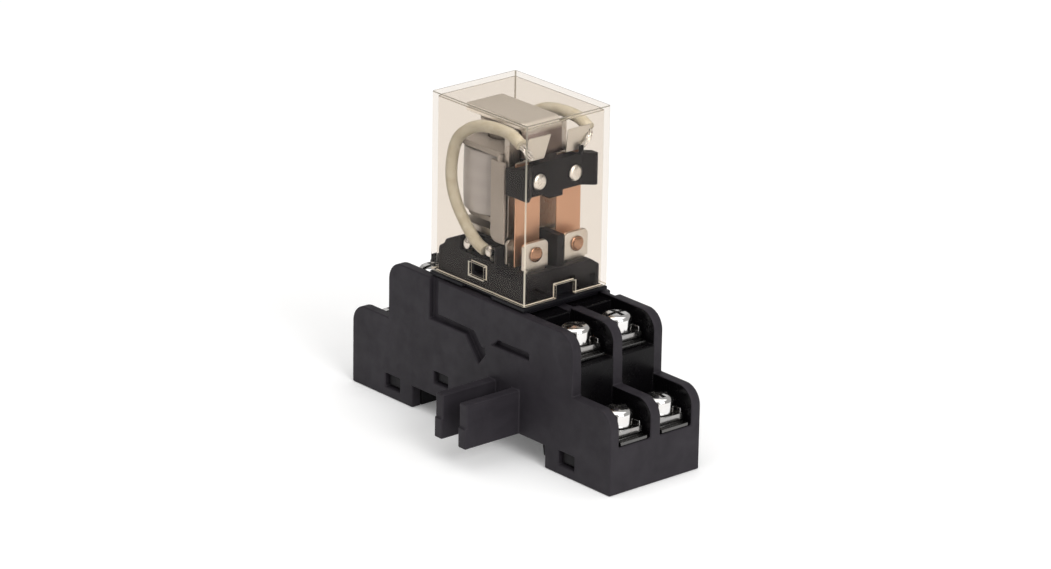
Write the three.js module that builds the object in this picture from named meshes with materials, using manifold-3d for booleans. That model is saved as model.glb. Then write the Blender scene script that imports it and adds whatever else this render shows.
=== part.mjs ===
// Two-pole plug-in power relay seated in an eight-terminal screw socket.
// Millimetres, +Z up. Origin: middle of the socket's underside. X runs along the socket, and the
// relay's contacts face +X. Pole a lies at -Y and pole b at +Y.
import * as THREE from "three";
import { mergeVertices } from "three/addons/utils/BufferGeometryUtils.js";
import Module from "manifold-3d";

const wasm = await Module();
wasm.setup();

// ---- Driving dimensions ----

// Socket housing, symmetric about both planes unless a name says otherwise.
const SOCKET_HALF_LENGTH = 38.5;
const SOCKET_HALF_WIDTH = 11.4;
const SOCKET_WALL = 2.2;
const UPPER_HALF_LENGTH = 27.4;
const UPPER_TOP = 28.75;
const LOWER_TOP = 16.7;
const SHOULDER_RADIUS = 3.8;
const PARTITION_HALF = 1.2;
const SHELF_THICKNESS = 1.4;
const SEAT_FROM = -16.6;
const SEAT_TO = 14.8;
const SEAT_HEIGHT = 27.9;
const DECK_THICKNESS = 1.5;
const FORK = { prongs: [3.0, 10.0], thickness: 2.2, reach: 13.4, bottom: 4.5, top: 13.5, step: 8.7 };

// 35 mm rail seat under the socket.
const RAIL_RECESS_HALF = 19.8;
const RAIL_SEAT = 4.5;
const RAIL_LIP_TIP = 16.4;
const RAIL_LIP_ROOT = 17.8;
const FOOT_THICKNESS = 1.4;
const LATCH = { from: -38.3, to: -16.4, half: 4.0, bottom: 1.7, top: 3.1 };

// Screw terminals: an upper and a lower level at each end.
const UPPER_LEVEL = { shelf: 22.4, screwX: 21.0, stripEnd: 25.8 };
const LOWER_LEVEL = { shelf: 9.4, screwX: 33.3, stripEnd: 38.2 };
const SCREW_Y = 5.2;
const STRIP = { thickness: 0.8, inner: 2.9, outer: 7.2, padHalf: 3.3, lipDrop: 0.15 };
const CLAMP = { half: 3.4, thickness: 1.3, bore: 2.0 };
const SCREW = { headRadius: 3.0, headHeight: 3.4, shankRadius: 1.7, shankLength: 6.0 };

// Relay envelope.
const RELAY_X = -1.8;
const COVER = { length: 28.0, width: 21.2, bottom: 30.0, top: 66.3, wall: 0.9, corner: 0.6 };
const PLINTH = { bottom: 29.0, top: 29.75 };
const BASE = { from: -14.6, to: 11.0, half: 9.4, frontTop: 35.7 };

// Blades, each named by what it feeds, with the X span of its sheet metal.
const BLADE_BOTTOM = 21.0;
const BLADE = { inner: 2.8, outer: 7.3 };
const NO_X = [8.3, 9.1];
const NC_X = [3.4, 4.0];
const COM_X = [-0.2, 0.6];
const COIL_X = [-7.0, -6.2];
const FIXED_PLATE = { inner: 2.1, outer: 8.0, bottom: 35.95, noTop: 41.3, ncTop: 40.7 };

// Magnet and moving parts.
const CORE_X = -7.1;
const CORE_RADIUS = 2.5;
const WINDING_RADIUS = 7.4;
const YOKE = { front: 3.3, thickness: 1.4, bottom: 39.4, top: 61.7, half: 7.2, footHalf: 6.4, back: -12.0 };
const ARMATURE = { back: -12.6, bottom: 62.0, thickness: 1.4, legFrom: 3.7, legBottom: 51.0, half: 4.5 };
const CARD = { from: 4.3, face: 8.8, tip: 10.6, half: 8.9, bottom: 50.3, top: 56.8 };
const SPRING_X = 6.42;
const SPRING_THICKNESS = 0.25;
const SPRING = { inner: 2.1, outer: 8.2, bottom: 36.1 };
const RIVET = { y: 4.55, z: 53.2, headRadius: 1.6, shankRadius: 0.8 };
const CONTACT = { y: 5.2, z: 38.8, headRadius: 1.3, shankRadius: 0.6 };
const LEAD_RADIUS = 1.18;
const LEAD_Y = 8.45;

const GAP = 0.3;
const POLES = { a: -1, b: 1 };

// ---- Materials ----

function material(color, roughness, metalness) {
  return new THREE.MeshStandardMaterial({ color, roughness, metalness });
}

const blackPlastic = material(0x2a292c, 0.55, 0.0);
const clearPlastic = material(0xe6dccb, 0.1, 0.0);
const whitePlastic = material(0xd9d4ca, 0.5, 0.0);
const windingTape = material(0xb9b0ac, 0.6, 0.0);
const sleeveFabric = material(0xcfcab8, 0.8, 0.0);
const nickel = material(0xc8c6c2, 0.3, 1.0);
const steel = material(0x9a9794, 0.4, 1.0);
const copper = material(0xc98e66, 0.35, 1.0);
const tinned = material(0xc9c3b6, 0.35, 1.0);
const silverContact = material(0xd0b8a0, 0.3, 1.0);

// ---- Solid helpers ----

// Signed volume of an indexed geometry, positive when its faces point out.
function signedVolume(geometry) {
  const position = geometry.getAttribute("position");
  const index = geometry.index.array;
  const a = new THREE.Vector3();
  const b = new THREE.Vector3();
  const c = new THREE.Vector3();
  let volume = 0;
  for (let i = 0; i < index.length; i += 3) {
    a.fromBufferAttribute(position, index[i]);
    b.fromBufferAttribute(position, index[i + 1]);
    c.fromBufferAttribute(position, index[i + 2]);
    volume += a.dot(b.cross(c)) / 6;
  }
  return volume;
}

// A closed three.js geometry as a manifold solid, turned right side out.
function solid(geometry) {
  geometry.deleteAttribute("normal");
  geometry.deleteAttribute("uv");
  const merged = mergeVertices(geometry, 1e-5);
  const triangles = Uint32Array.from(merged.index.array);
  if (signedVolume(merged) < 0) {
    for (let i = 0; i < triangles.length; i += 3) {
      [triangles[i], triangles[i + 1]] = [triangles[i + 1], triangles[i]];
    }
  }
  const vertProperties = Float32Array.from(merged.getAttribute("position").array);
  const mesh = new wasm.Mesh({ numProp: 3, vertProperties, triVerts: triangles });
  mesh.merge();
  return new wasm.Manifold(mesh);
}

function toGeometry(manifold) {
  const mesh = manifold.getMesh();
  const geometry = new THREE.BufferGeometry();
  geometry.setAttribute("position", new THREE.BufferAttribute(mesh.vertProperties, 3));
  geometry.setIndex(new THREE.BufferAttribute(mesh.triVerts, 1));
  geometry.computeVertexNormals();
  return geometry;
}

function box(x, y, z) {
  const geometry = new THREE.BoxGeometry(x[1] - x[0], y[1] - y[0], z[1] - z[0]);
  geometry.translate((x[0] + x[1]) / 2, (y[0] + y[1]) / 2, (z[0] + z[1]) / 2);
  return solid(geometry);
}

// The same box on pole a's or pole b's side: y gives its distances from the middle plane.
function poleBox(side, x, y, z) {
  const ends = [side * y[0], side * y[1]].sort((p, q) => p - q);
  return box(x, ends, z);
}

// An outline drawn in a plane and pushed along the axis that plane faces.
function prism(outline, axis, from, to) {
  const shape = outline instanceof THREE.Shape ? outline : outlineShape(outline);
  const geometry = new THREE.ExtrudeGeometry(shape, {
    depth: to - from,
    bevelEnabled: false,
    curveSegments: 8,
  });
  geometry.translate(0, 0, from);
  const [u, v] = { X: [[0, 1, 0], [0, 0, 1]], Y: [[1, 0, 0], [0, 0, 1]], Z: [[1, 0, 0], [0, 1, 0]] }[axis];
  const w = { X: [1, 0, 0], Y: [0, 1, 0], Z: [0, 0, 1] }[axis];
  const basis = new THREE.Matrix4().makeBasis(
    new THREE.Vector3(...u),
    new THREE.Vector3(...v),
    new THREE.Vector3(...w),
  );
  geometry.applyMatrix4(basis);
  return solid(geometry);
}

function outlineShape(points) {
  return new THREE.Shape(points.map(([u, v]) => new THREE.Vector2(u, v)));
}

// The same outline on pole a's or pole b's side, where its first coordinate is Y.
function poleOutline(side, points) {
  return points.map(([y, z]) => [side * y, z]);
}

function roundedRectangle(length, width, radius) {
  const shape = new THREE.Shape();
  const u = length / 2;
  const v = width / 2;
  shape.moveTo(-u + radius, -v);
  shape.lineTo(u - radius, -v);
  shape.absarc(u - radius, -v + radius, radius, -Math.PI / 2, 0);
  shape.lineTo(u, v - radius);
  shape.absarc(u - radius, v - radius, radius, 0, Math.PI / 2);
  shape.lineTo(-u + radius, v);
  shape.absarc(-u + radius, v - radius, radius, Math.PI / 2, Math.PI);
  shape.lineTo(-u, -v + radius);
  shape.absarc(-u + radius, -v + radius, radius, Math.PI, Math.PI * 1.5);
  return shape;
}

// A turned solid: profile points are [radius, distance along the axis].
function turned(profile, axis, centre, segments = 24) {
  const points = profile.map(([r, t]) => new THREE.Vector2(r, t));
  const geometry = new THREE.LatheGeometry(points, segments);
  if (axis === "X") {
    geometry.rotateZ(-Math.PI / 2);
  } else {
    geometry.rotateX(Math.PI / 2);
  }
  geometry.translate(...centre);
  return solid(geometry);
}

function cylinder(radius, axis, centre, from, to, segments = 24) {
  return turned([[0, from], [radius, from], [radius, to], [0, to]], axis, centre, segments);
}

function circle(radius, sides) {
  const shape = new THREE.Shape();
  for (let i = 0; i < sides; i += 1) {
    const angle = (2 * Math.PI * i) / sides;
    shape[i === 0 ? "moveTo" : "lineTo"](radius * Math.cos(angle), radius * Math.sin(angle));
  }
  shape.closePath();
  return shape;
}

// A round rod of the given radius along a curve.
function rod(curve, radius, sides, steps) {
  const geometry = new THREE.ExtrudeGeometry(circle(radius, sides), { extrudePath: curve, steps });
  return solid(geometry);
}

class Helix extends THREE.Curve {
  constructor(radius, length, turns) {
    super();
    this.radius = radius;
    this.length = length;
    this.turns = turns;
  }

  getPoint(t, target = new THREE.Vector3()) {
    const angle = 2 * Math.PI * this.turns * t;
    return target.set(this.radius * Math.cos(angle), this.radius * Math.sin(angle), this.length * t);
  }
}

function coilSpring(radius, wireRadius, length, turns) {
  return rod(new Helix(radius, length, turns), wireRadius, 6, turns * 12);
}

function cut(body, ...tools) {
  return tools.reduce((rest, tool) => rest.subtract(tool), body);
}

function join(body, ...others) {
  return others.reduce((whole, other) => whole.add(other), body);
}

// ---- Assembly groups ----

const group = new THREE.Group();
const socket = new THREE.Group();
const relay = new THREE.Group();
const armatureGroup = new THREE.Group();
group.add(socket, relay);
relay.add(armatureGroup);

function addPart(parent, name, manifold, finish) {
  const mesh = new THREE.Mesh(toGeometry(manifold), finish);
  mesh.name = name;
  parent.add(mesh);
}

// ---- Socket housing ----

// Side outline of the stepped housing, with rounded shoulders and the rail recess below.
function housingOutline() {
  const shape = new THREE.Shape();
  const r = SHOULDER_RADIUS;
  shape.moveTo(RAIL_RECESS_HALF, 0);
  shape.lineTo(SOCKET_HALF_LENGTH, 0);
  shape.lineTo(SOCKET_HALF_LENGTH, LOWER_TOP - r);
  shape.absarc(SOCKET_HALF_LENGTH - r, LOWER_TOP - r, r, 0, Math.PI / 2);
  shape.lineTo(UPPER_HALF_LENGTH, LOWER_TOP);
  shape.lineTo(UPPER_HALF_LENGTH, UPPER_TOP - r);
  shape.absarc(UPPER_HALF_LENGTH - r, UPPER_TOP - r, r, 0, Math.PI / 2);
  shape.lineTo(-UPPER_HALF_LENGTH + r, UPPER_TOP);
  shape.absarc(-UPPER_HALF_LENGTH + r, UPPER_TOP - r, r, Math.PI / 2, Math.PI);
  shape.lineTo(-UPPER_HALF_LENGTH, LOWER_TOP);
  shape.lineTo(-SOCKET_HALF_LENGTH + r, LOWER_TOP);
  shape.absarc(-SOCKET_HALF_LENGTH + r, LOWER_TOP - r, r, Math.PI / 2, Math.PI);
  shape.lineTo(-SOCKET_HALF_LENGTH, 0);
  shape.lineTo(-RAIL_RECESS_HALF, 0);
  shape.lineTo(-RAIL_RECESS_HALF, RAIL_SEAT);
  shape.lineTo(RAIL_RECESS_HALF, RAIL_SEAT);
  return shape;
}

const INNER_HALF_WIDTH = SOCKET_HALF_WIDTH - SOCKET_WALL;
const ABOVE = 40;
const BELOW = -1;

// Space for the strips and clips, open at the bottom.
function housingCavity() {
  const y = [-INNER_HALF_WIDTH, INNER_HALF_WIDTH];
  const seat = [SEAT_FROM + DECK_THICKNESS, SEAT_TO - DECK_THICKNESS];
  const upper = UPPER_HALF_LENGTH - 1.6;
  const lower = SOCKET_HALF_LENGTH - 2.1;
  return join(
    box(seat, y, [BELOW, SEAT_HEIGHT - DECK_THICKNESS]),
    box([-upper, upper], y, [BELOW, UPPER_LEVEL.shelf - SHELF_THICKNESS]),
    box([-lower, lower], y, [BELOW, LOWER_LEVEL.shelf - SHELF_THICKNESS]),
  );
}

// Terminal bays: one per screw, open upwards and outwards.
function terminalBays() {
  const bays = [];
  for (const side of Object.values(POLES)) {
    const y = [PARTITION_HALF, INNER_HALF_WIDTH];
    bays.push(poleBox(side, [SEAT_TO, ABOVE], y, [UPPER_LEVEL.shelf, ABOVE]));
    bays.push(poleBox(side, [-ABOVE, SEAT_FROM], y, [UPPER_LEVEL.shelf, ABOVE]));
    bays.push(poleBox(side, [UPPER_HALF_LENGTH, ABOVE], y, [LOWER_LEVEL.shelf, ABOVE]));
    bays.push(poleBox(side, [-ABOVE, -UPPER_HALF_LENGTH], y, [LOWER_LEVEL.shelf, ABOVE]));
  }
  return bays;
}

// Slots for strips and blades, and the wells under the screws.
function housingSlots() {
  const slots = [];
  const y = [STRIP.inner - GAP, STRIP.outer + GAP];
  for (const side of Object.values(POLES)) {
    for (const end of [-1, 1]) {
      for (const level of [UPPER_LEVEL, LOWER_LEVEL]) {
        const centre = [end * level.screwX, side * SCREW_Y, 0];
        const well = [level.shelf - SHELF_THICKNESS - 1, level.shelf + 1];
        slots.push(cylinder(SCREW.shankRadius + 0.5, "Z", centre, ...well));
      }
      const riser = [end * (UPPER_HALF_LENGTH - 2), end * (UPPER_HALF_LENGTH + 1)].sort((p, q) => p - q);
      slots.push(poleBox(side, riser, y, [LOWER_LEVEL.shelf - 0.2, LOWER_LEVEL.shelf + 1.2]));
    }
    const level = [UPPER_LEVEL.shelf - 0.2, UPPER_LEVEL.shelf + 1.2];
    slots.push(poleBox(side, [SEAT_TO - 2, SEAT_TO + 1], y, level));
    slots.push(poleBox(side, [SEAT_FROM - 1, SEAT_FROM + 2], y, level));
    for (const span of [NO_X, NC_X, COM_X, COIL_X]) {
      const x = [span[0] - 0.35, span[1] + 0.35];
      slots.push(poleBox(side, x, [BLADE.inner - GAP, BLADE.outer + GAP], [20, ABOVE]));
    }
  }
  return slots;
}

// Snap windows near the feet and one higher up, where the base plate's hooks show.
const FOOT_WINDOW = { x: 26.0, half: 2.25, bottom: 1.9, top: 4.8 };
const HIGH_WINDOW = { x: -11.25, half: 2.15, bottom: 7.2, top: 9.7 };
const HOOK_CLEARANCE = 0.35;

function windowCuts() {
  const cuts = [];
  const depth = [SOCKET_HALF_WIDTH - SOCKET_WALL - 0.5, SOCKET_HALF_WIDTH + 1];
  for (const side of Object.values(POLES)) {
    const places = [
      [FOOT_WINDOW, FOOT_WINDOW.x],
      [FOOT_WINDOW, -FOOT_WINDOW.x],
      [HIGH_WINDOW, -side * HIGH_WINDOW.x],
    ];
    for (const [window, x] of places) {
      const span = [x - window.half, x + window.half];
      cuts.push(poleBox(side, span, depth, [window.bottom, window.top]));
    }
  }
  return cuts;
}

// Sunk channels in the long sides: a stepped one that ends in an arrow and a short tapered one.
const CHANNEL_DEPTH = 1.2;
const STEPPED_CHANNEL = [
  [-14.9, 29.5], [-14.9, 20.2], [-4.1, 20.2], [0, 15.3], [2.05, 17.7],
  [1.75, 19.1], [0.9, 18.8], [-1.5, 21.6], [-12.3, 21.8], [-12.3, 29.5],
];
const SHORT_CHANNEL = [[4.1, 20.3], [14.7, 20.3], [14.7, 21.7], [5.7, 21.7]];

function sideChannels() {
  const channels = [];
  for (const side of Object.values(POLES)) {
    const depth = [SOCKET_HALF_WIDTH - CHANNEL_DEPTH, SOCKET_HALF_WIDTH + 1];
    const y = [side * depth[0], side * depth[1]].sort((p, q) => p - q);
    for (const outline of [STEPPED_CHANNEL, SHORT_CHANNEL]) {
      const turnedOutline = outline.map(([x, z]) => [-side * x, z]);
      channels.push(prism(turnedOutline, "Y", ...y));
    }
  }
  return channels;
}

// Two parallel prongs on each long side, turned half round on the far side.
function mountingForks() {
  const prongs = [];
  for (const side of Object.values(POLES)) {
    for (const start of FORK.prongs) {
      const x = [-side * start, -side * (start + FORK.thickness)].sort((p, q) => p - q);
      const y = [SOCKET_HALF_WIDTH - 0.5, SOCKET_HALF_WIDTH + FORK.reach];
      prongs.push(poleBox(side, x, y, [FORK.bottom, FORK.step]));
      prongs.push(poleBox(side, x, [y[0], y[1] - GAP], [FORK.step - 0.1, FORK.top]));
    }
  }
  return prongs;
}

function socketHousing() {
  const block = prism(housingOutline(), "Y", -SOCKET_HALF_WIDTH, SOCKET_HALF_WIDTH);
  const seat = box([SEAT_FROM, SEAT_TO], [-INNER_HALF_WIDTH, INNER_HALF_WIDTH], [SEAT_HEIGHT, ABOVE]);
  const latchGate = box([-ABOVE, -35], [-LATCH.half - GAP, LATCH.half + GAP], [BELOW, LATCH.top + GAP]);
  const shell = cut(
    block,
    housingCavity(),
    seat,
    latchGate,
    ...terminalBays(),
    ...housingSlots(),
    ...windowCuts(),
    ...sideChannels(),
  );
  return join(shell, ...mountingForks());
}

addPart(socket, "socket_housing", socketHousing(), blackPlastic);

// ---- Base plate, rail latch and its spring ----

const PLATE_HALF_WIDTH = INNER_HALF_WIDTH - 0.2;
const FOOT_END = SOCKET_HALF_LENGTH - 2.4;
const RISER = 1.5;
const SEAT_PAD_HALF = 16.2;
const RELIEF = RAIL_SEAT + 0.2;
const LATCH_SPRING = { radius: 0.8, wire: 0.17, from: -28.65, length: 4.4, turns: 7, z: 2.62 };
const SPRING_POST = [-29.9, -28.9];
const LATCH_WINDOW = [-31.5, -24.0];

function basePlate() {
  const outer = RAIL_RECESS_HALF + RISER;
  const outline = [
    [-FOOT_END, 0], [-RAIL_RECESS_HALF, 0], [-RAIL_RECESS_HALF, RELIEF], [-SEAT_PAD_HALF, RELIEF],
    [-SEAT_PAD_HALF, RAIL_SEAT], [SEAT_PAD_HALF, RAIL_SEAT], [SEAT_PAD_HALF, RELIEF], [RAIL_LIP_ROOT, RELIEF],
    [RAIL_LIP_ROOT, LATCH.top], [RAIL_LIP_TIP, LATCH.top], [RAIL_LIP_TIP + 0.4, 1], [RAIL_RECESS_HALF, 1],
    [RAIL_RECESS_HALF, 0], [FOOT_END, 0], [FOOT_END, FOOT_THICKNESS], [outer, FOOT_THICKNESS],
    [outer, RAIL_SEAT + RISER], [-outer, RAIL_SEAT + RISER], [-outer, FOOT_THICKNESS],
    [-FOOT_END, FOOT_THICKNESS],
  ];
  let plate = prism(outline, "Y", -PLATE_HALF_WIDTH, PLATE_HALF_WIDTH);
  const latchSlot = [-LATCH.half - GAP, LATCH.half + GAP];
  plate = cut(
    plate,
    box([-outer - 1, -RAIL_RECESS_HALF + 1], latchSlot, [FOOT_THICKNESS, LATCH.top + GAP]),
    box([-FOOT_END - 1, -31], [-2, 2], [BELOW, FOOT_THICKNESS + 1]),
  );
  plate = join(plate, box(SPRING_POST, [-1.3, 1.3], [FOOT_THICKNESS - 0.2, LATCH.top + 0.6]));
  for (const side of Object.values(POLES)) {
    const hooks = [
      [FOOT_WINDOW, FOOT_WINDOW.x, FOOT_THICKNESS],
      [FOOT_WINDOW, -FOOT_WINDOW.x, FOOT_THICKNESS],
      [HIGH_WINDOW, -side * HIGH_WINDOW.x, RAIL_SEAT + RISER],
    ];
    for (const [window, x, floor] of hooks) {
      const half = window.half - HOOK_CLEARANCE;
      const span = [x - half, x + half];
      const top = window.top - HOOK_CLEARANCE;
      const stem = [PLATE_HALF_WIDTH - 0.8, PLATE_HALF_WIDTH];
      const nose = [PLATE_HALF_WIDTH - 0.1, SOCKET_HALF_WIDTH - 0.9];
      plate = join(
        plate,
        poleBox(side, span, stem, [floor - 0.2, top]),
        poleBox(side, span, nose, [window.bottom + HOOK_CLEARANCE, top]),
      );
    }
  }
  return plate;
}

function railLatch() {
  const nose = 0.8;
  const outline = [
    [LATCH.from, LATCH.bottom], [LATCH.to - nose, LATCH.bottom], [LATCH.to, LATCH.bottom + nose],
    [LATCH.to, LATCH.top], [LATCH.from, LATCH.top],
  ];
  return cut(
    prism(outline, "Y", -LATCH.half, LATCH.half),
    box(LATCH_WINDOW, [-1.7, 1.7], [0, 5]),
    box([-36.2, -33.2], [-1.4, 1.4], [0, 5]),
  );
}

addPart(socket, "socket_base_plate", basePlate(), blackPlastic);
addPart(socket, "rail_latch", railLatch(), blackPlastic);

const latchCoil = coilSpring(
  LATCH_SPRING.radius, LATCH_SPRING.wire, LATCH_SPRING.length, LATCH_SPRING.turns,
).rotate([0, 90, 0]).translate([LATCH_SPRING.from, 0, LATCH_SPRING.z]);
addPart(socket, "rail_latch_spring", latchCoil, steel);

// ---- Terminal strips, clamp washers and screws ----

// Side outline of a strip: a U clip round the blade and a tail out to the screw shelf. The end past
// the washer is a slightly lowered lip.
// "out" is +1 when the tail runs towards +X.
function stripOutline(span, out, level) {
  const leaf = 0.5;
  const bottom = BLADE_BOTTOM - 0.7;
  const clipTop = 26.0;
  const near = out > 0 ? span[1] + GAP : -(span[0] - GAP);
  const far = out > 0 ? span[0] - GAP : -(span[1] + GAP);
  const tailBottom = level.shelf + 0.1;
  const tailTop = tailBottom + STRIP.thickness;
  const upper = level === UPPER_LEVEL;
  const stem = near + STRIP.thickness;
  const tail = upper
    ? [[near + leaf, bottom], [near + leaf, tailBottom], [level.stripEnd, tailBottom],
      [level.stripEnd, tailTop], [near + leaf, tailTop]]
    : [[near, bottom], [near, tailBottom], [level.stripEnd, tailBottom],
      [level.stripEnd, tailTop], [stem, tailTop], [stem, bottom + 0.6], [near + leaf, bottom + 0.6]];
  const points = [
    ...tail,
    [near + leaf, clipTop], [near, clipTop], [near, bottom + leaf],
    [far, bottom + leaf], [far, clipTop], [far - leaf, clipTop], [far - leaf, bottom],
  ];
  return points.map(([x, z]) => [out * x, z]);
}

function terminalStrip(side, span, out, level) {
  const y = [side * STRIP.inner, side * STRIP.outer].sort((p, q) => p - q);
  const screwX = out * level.screwX;
  const pad = [screwX - out * 3.6, out * level.stripEnd].sort((p, q) => p - q);
  const lip = [screwX + out * 3.6, out * ABOVE].sort((p, q) => p - q);
  const top = level.shelf + 0.1 + STRIP.thickness;
  return cut(
    join(
      prism(stripOutline(span, out, level), "Y", ...y),
      poleBox(side, pad, [SCREW_Y - STRIP.padHalf, SCREW_Y + STRIP.padHalf], [level.shelf + 0.1, top]),
    ),
    cylinder(SCREW.shankRadius + GAP, "Z", [screwX, side * SCREW_Y, 0], level.shelf - 1, top + 1),
    poleBox(side, lip, [0, 11], [top - STRIP.lipDrop, top + 1]),
  );
}

// Square washer that holds the wire down under the screw head.
function clampWasher(side, x, level) {
  const bottom = level.shelf + 0.2 + STRIP.thickness;
  const y = side * SCREW_Y;
  const half = CLAMP.half;
  const plate = box([x - half, x + half], [y - half, y + half], [bottom, bottom + CLAMP.thickness]);
  return cut(plate, cylinder(CLAMP.bore, "Z", [x, y, 0], bottom - 1, bottom + 2));
}

function terminalScrew(side, x, level) {
  const headBottom = level.shelf + 0.3 + STRIP.thickness + CLAMP.thickness;
  const headTop = headBottom + SCREW.headHeight;
  const r = SCREW.headRadius;
  const tip = headBottom - SCREW.shankLength;
  const profile = [
    [0, tip], [SCREW.shankRadius - 0.4, tip], [SCREW.shankRadius, tip + 0.5],
    [SCREW.shankRadius, headBottom], [r, headBottom], [r, headTop - 0.5], [r - 0.5, headTop], [0, headTop],
  ];
  const y = side * SCREW_Y;
  const recess = [headTop - 1.3, headTop + 1];
  const arm = 1.75;
  const half = 0.45;
  return cut(
    turned(profile, "Z", [x, y, 0]),
    box([x - arm, x + arm], [y - half, y + half], recess),
    box([x - half, x + half], [y - arm, y + arm], recess),
  );
}

const TERMINALS = [
  { name: "no", span: NO_X, out: 1, level: UPPER_LEVEL },
  { name: "nc", span: NC_X, out: 1, level: LOWER_LEVEL },
  { name: "com", span: COM_X, out: -1, level: LOWER_LEVEL },
  { name: "coil", span: COIL_X, out: -1, level: UPPER_LEVEL },
];

for (const [pole, side] of Object.entries(POLES)) {
  for (const { name, span, out, level } of TERMINALS) {
    const x = out * level.screwX;
    addPart(socket, `terminal_strip_${name}_${pole}`, terminalStrip(side, span, out, level), nickel);
    addPart(socket, `clamp_washer_${name}_${pole}`, clampWasher(side, x, level), nickel);
    addPart(socket, `terminal_screw_${name}_${pole}`, terminalScrew(side, x, level), nickel);
  }
}

// ---- Relay cover and base ----

const COVER_WINDOW = { x: [-4.2, 0.1], z: [32.1, 34.8] };
const COVER_NOTCH = { half: 2.4, top: 32.75 };

function relayCover() {
  const { length, width, bottom, top, wall, corner } = COVER;
  const outer = prism(roundedRectangle(length, width, corner), "Z", bottom, top);
  const innerShape = roundedRectangle(length - 2 * wall, width - 2 * wall, corner - 0.3);
  const inner = prism(innerShape, "Z", bottom - 1, top - wall);
  return cut(
    outer.translate([RELAY_X, 0, 0]),
    inner.translate([RELAY_X, 0, 0]),
    box(COVER_WINDOW.x, [-width, width], COVER_WINDOW.z),
    box([8, 14], [-COVER_NOTCH.half, COVER_NOTCH.half], [bottom - 1, COVER_NOTCH.top]),
  );
}

// Side outline of the moulded base: sloped hump under the magnet, low step under the contacts.
const BASE_OUTLINE = [
  [BASE.from, 29.7], [BASE.to, 29.7], [BASE.to, BASE.frontTop], [2.7, BASE.frontTop], [2.7, 39.1],
  [-7.5, 39.0], [-9.8, 38.1], [-12.4, 36.9], [-13.0, 35.9], [-14.4, 35.0], [BASE.from, 34.3],
];
const TIP = { inner: 7.9, outer: 8.6, hook: 9.2, hookBottom: 36.4, armBottom: 33.0, armTop: 34.5 };

// Sunk panel each side of the front notch, its upper edge sloping down towards the notch.
const FRONT_POCKET = [[3.1, 29.8], [8.4, 29.8], [8.4, 32.6], [6.4, 32.6], [4.4, 31.2], [3.1, 31.2]];

function relayBase() {
  const { length, width } = COVER;
  const x = [RELAY_X - length / 2, RELAY_X + length / 2];
  let base = join(
    box(x, [-width / 2, width / 2], [PLINTH.bottom, PLINTH.top]),
    box([-15.0, 11.4], [-8.9, 8.9], [SEAT_HEIGHT + 0.25, PLINTH.bottom + 0.1]),
    prism(BASE_OUTLINE, "Y", -BASE.half, BASE.half),
    box([4.7, 10.4], [-0.9, 0.9], [BASE.frontTop - 0.1, 42.0]),
  );
  base = cut(base, box([9.6, 12], [-3.2, 3.2], [PLINTH.top, 33.2]));
  for (const side of Object.values(POLES)) {
    const y = [BLADE.inner - 0.25, BLADE.outer + 0.25];
    const shoulder = poleOutline(side, [[7.1, BASE.frontTop + 0.1], [9.6, 34.1], [9.6, BASE.frontTop + 0.1]]);
    base = cut(
      base,
      poleBox(side, [-6.0, 2.6], [9.9, 11], [PLINTH.bottom - 1, PLINTH.top + 0.1]),
      poleBox(side, [-4.0, -0.9], [8.2, 11], [32.4, 34.5]),
      poleBox(side, [-8.2, 1.9], [6.7, 11], [35.9, ABOVE]),
      prism(shoulder, "X", 2.7, 12),
      prism(poleOutline(side, FRONT_POCKET), "X", 9.6, 12),
      poleBox(side, [NO_X[0] - 0.25, NO_X[1] + 0.25], y, [27, ABOVE]),
      poleBox(side, [NC_X[0] - 0.25, NC_X[1] + 0.25], y, [27, ABOVE]),
    );
    for (const span of [COM_X, COIL_X]) {
      const slot = [span[0] - 0.25, span[1] + 0.25];
      base = cut(
        base,
        poleBox(side, slot, y, [27, TIP.armTop + GAP]),
        poleBox(side, slot, [7, TIP.outer + 0.25], [TIP.armBottom - GAP, ABOVE]),
      );
    }
  }
  return base;
}

addPart(relay, "relay_cover", relayCover(), clearPlastic);
addPart(relay, "relay_base", relayBase(), blackPlastic);

// ---- Coil, core and yoke ----

const TOP_FLANGE = { from: -14.6, to: 1.4, half: 7.1, round: 5.5 };
const BOTTOM_FLANGE = { from: -12.9, to: 1.4, half: 5.8, round: 4.6 };
const BOBBIN = { bottom: 41.9, windingBottom: 43.0, windingTop: 56.2, top: 57.4, tube: 3.6, bore: 2.8 };
const BARRIER = { from: 0.7, to: 1.4, cheekInner: 7.5, cheekOuter: 8.1, cheekBack: -0.9, cheekFront: 3.0 };

// Flange outline, rounded at the back where it follows the winding.
function flangeOutline({ from, to, half, round }) {
  const shape = new THREE.Shape();
  shape.moveTo(to, -half);
  shape.lineTo(to, half);
  shape.lineTo(from + round, half);
  shape.absarc(from + round, half - round, round, Math.PI / 2, Math.PI);
  shape.lineTo(from, -half + round);
  shape.absarc(from + round, -half + round, round, Math.PI, Math.PI * 1.5);
  return shape;
}

// Side outline of a cheek that shields the yoke's edge, with its lower back corner rounded.
function cheekOutline() {
  const shape = new THREE.Shape();
  const r = 1.6;
  const bottom = 39.6;
  shape.moveTo(BARRIER.cheekBack + r, bottom);
  shape.lineTo(BARRIER.cheekFront, bottom);
  shape.lineTo(BARRIER.cheekFront, 56.0);
  shape.lineTo(BARRIER.cheekBack, 56.0);
  shape.lineTo(BARRIER.cheekBack, bottom + r);
  shape.absarc(BARRIER.cheekBack + r, bottom + r, r, Math.PI, Math.PI * 1.5);
  return shape;
}

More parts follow.
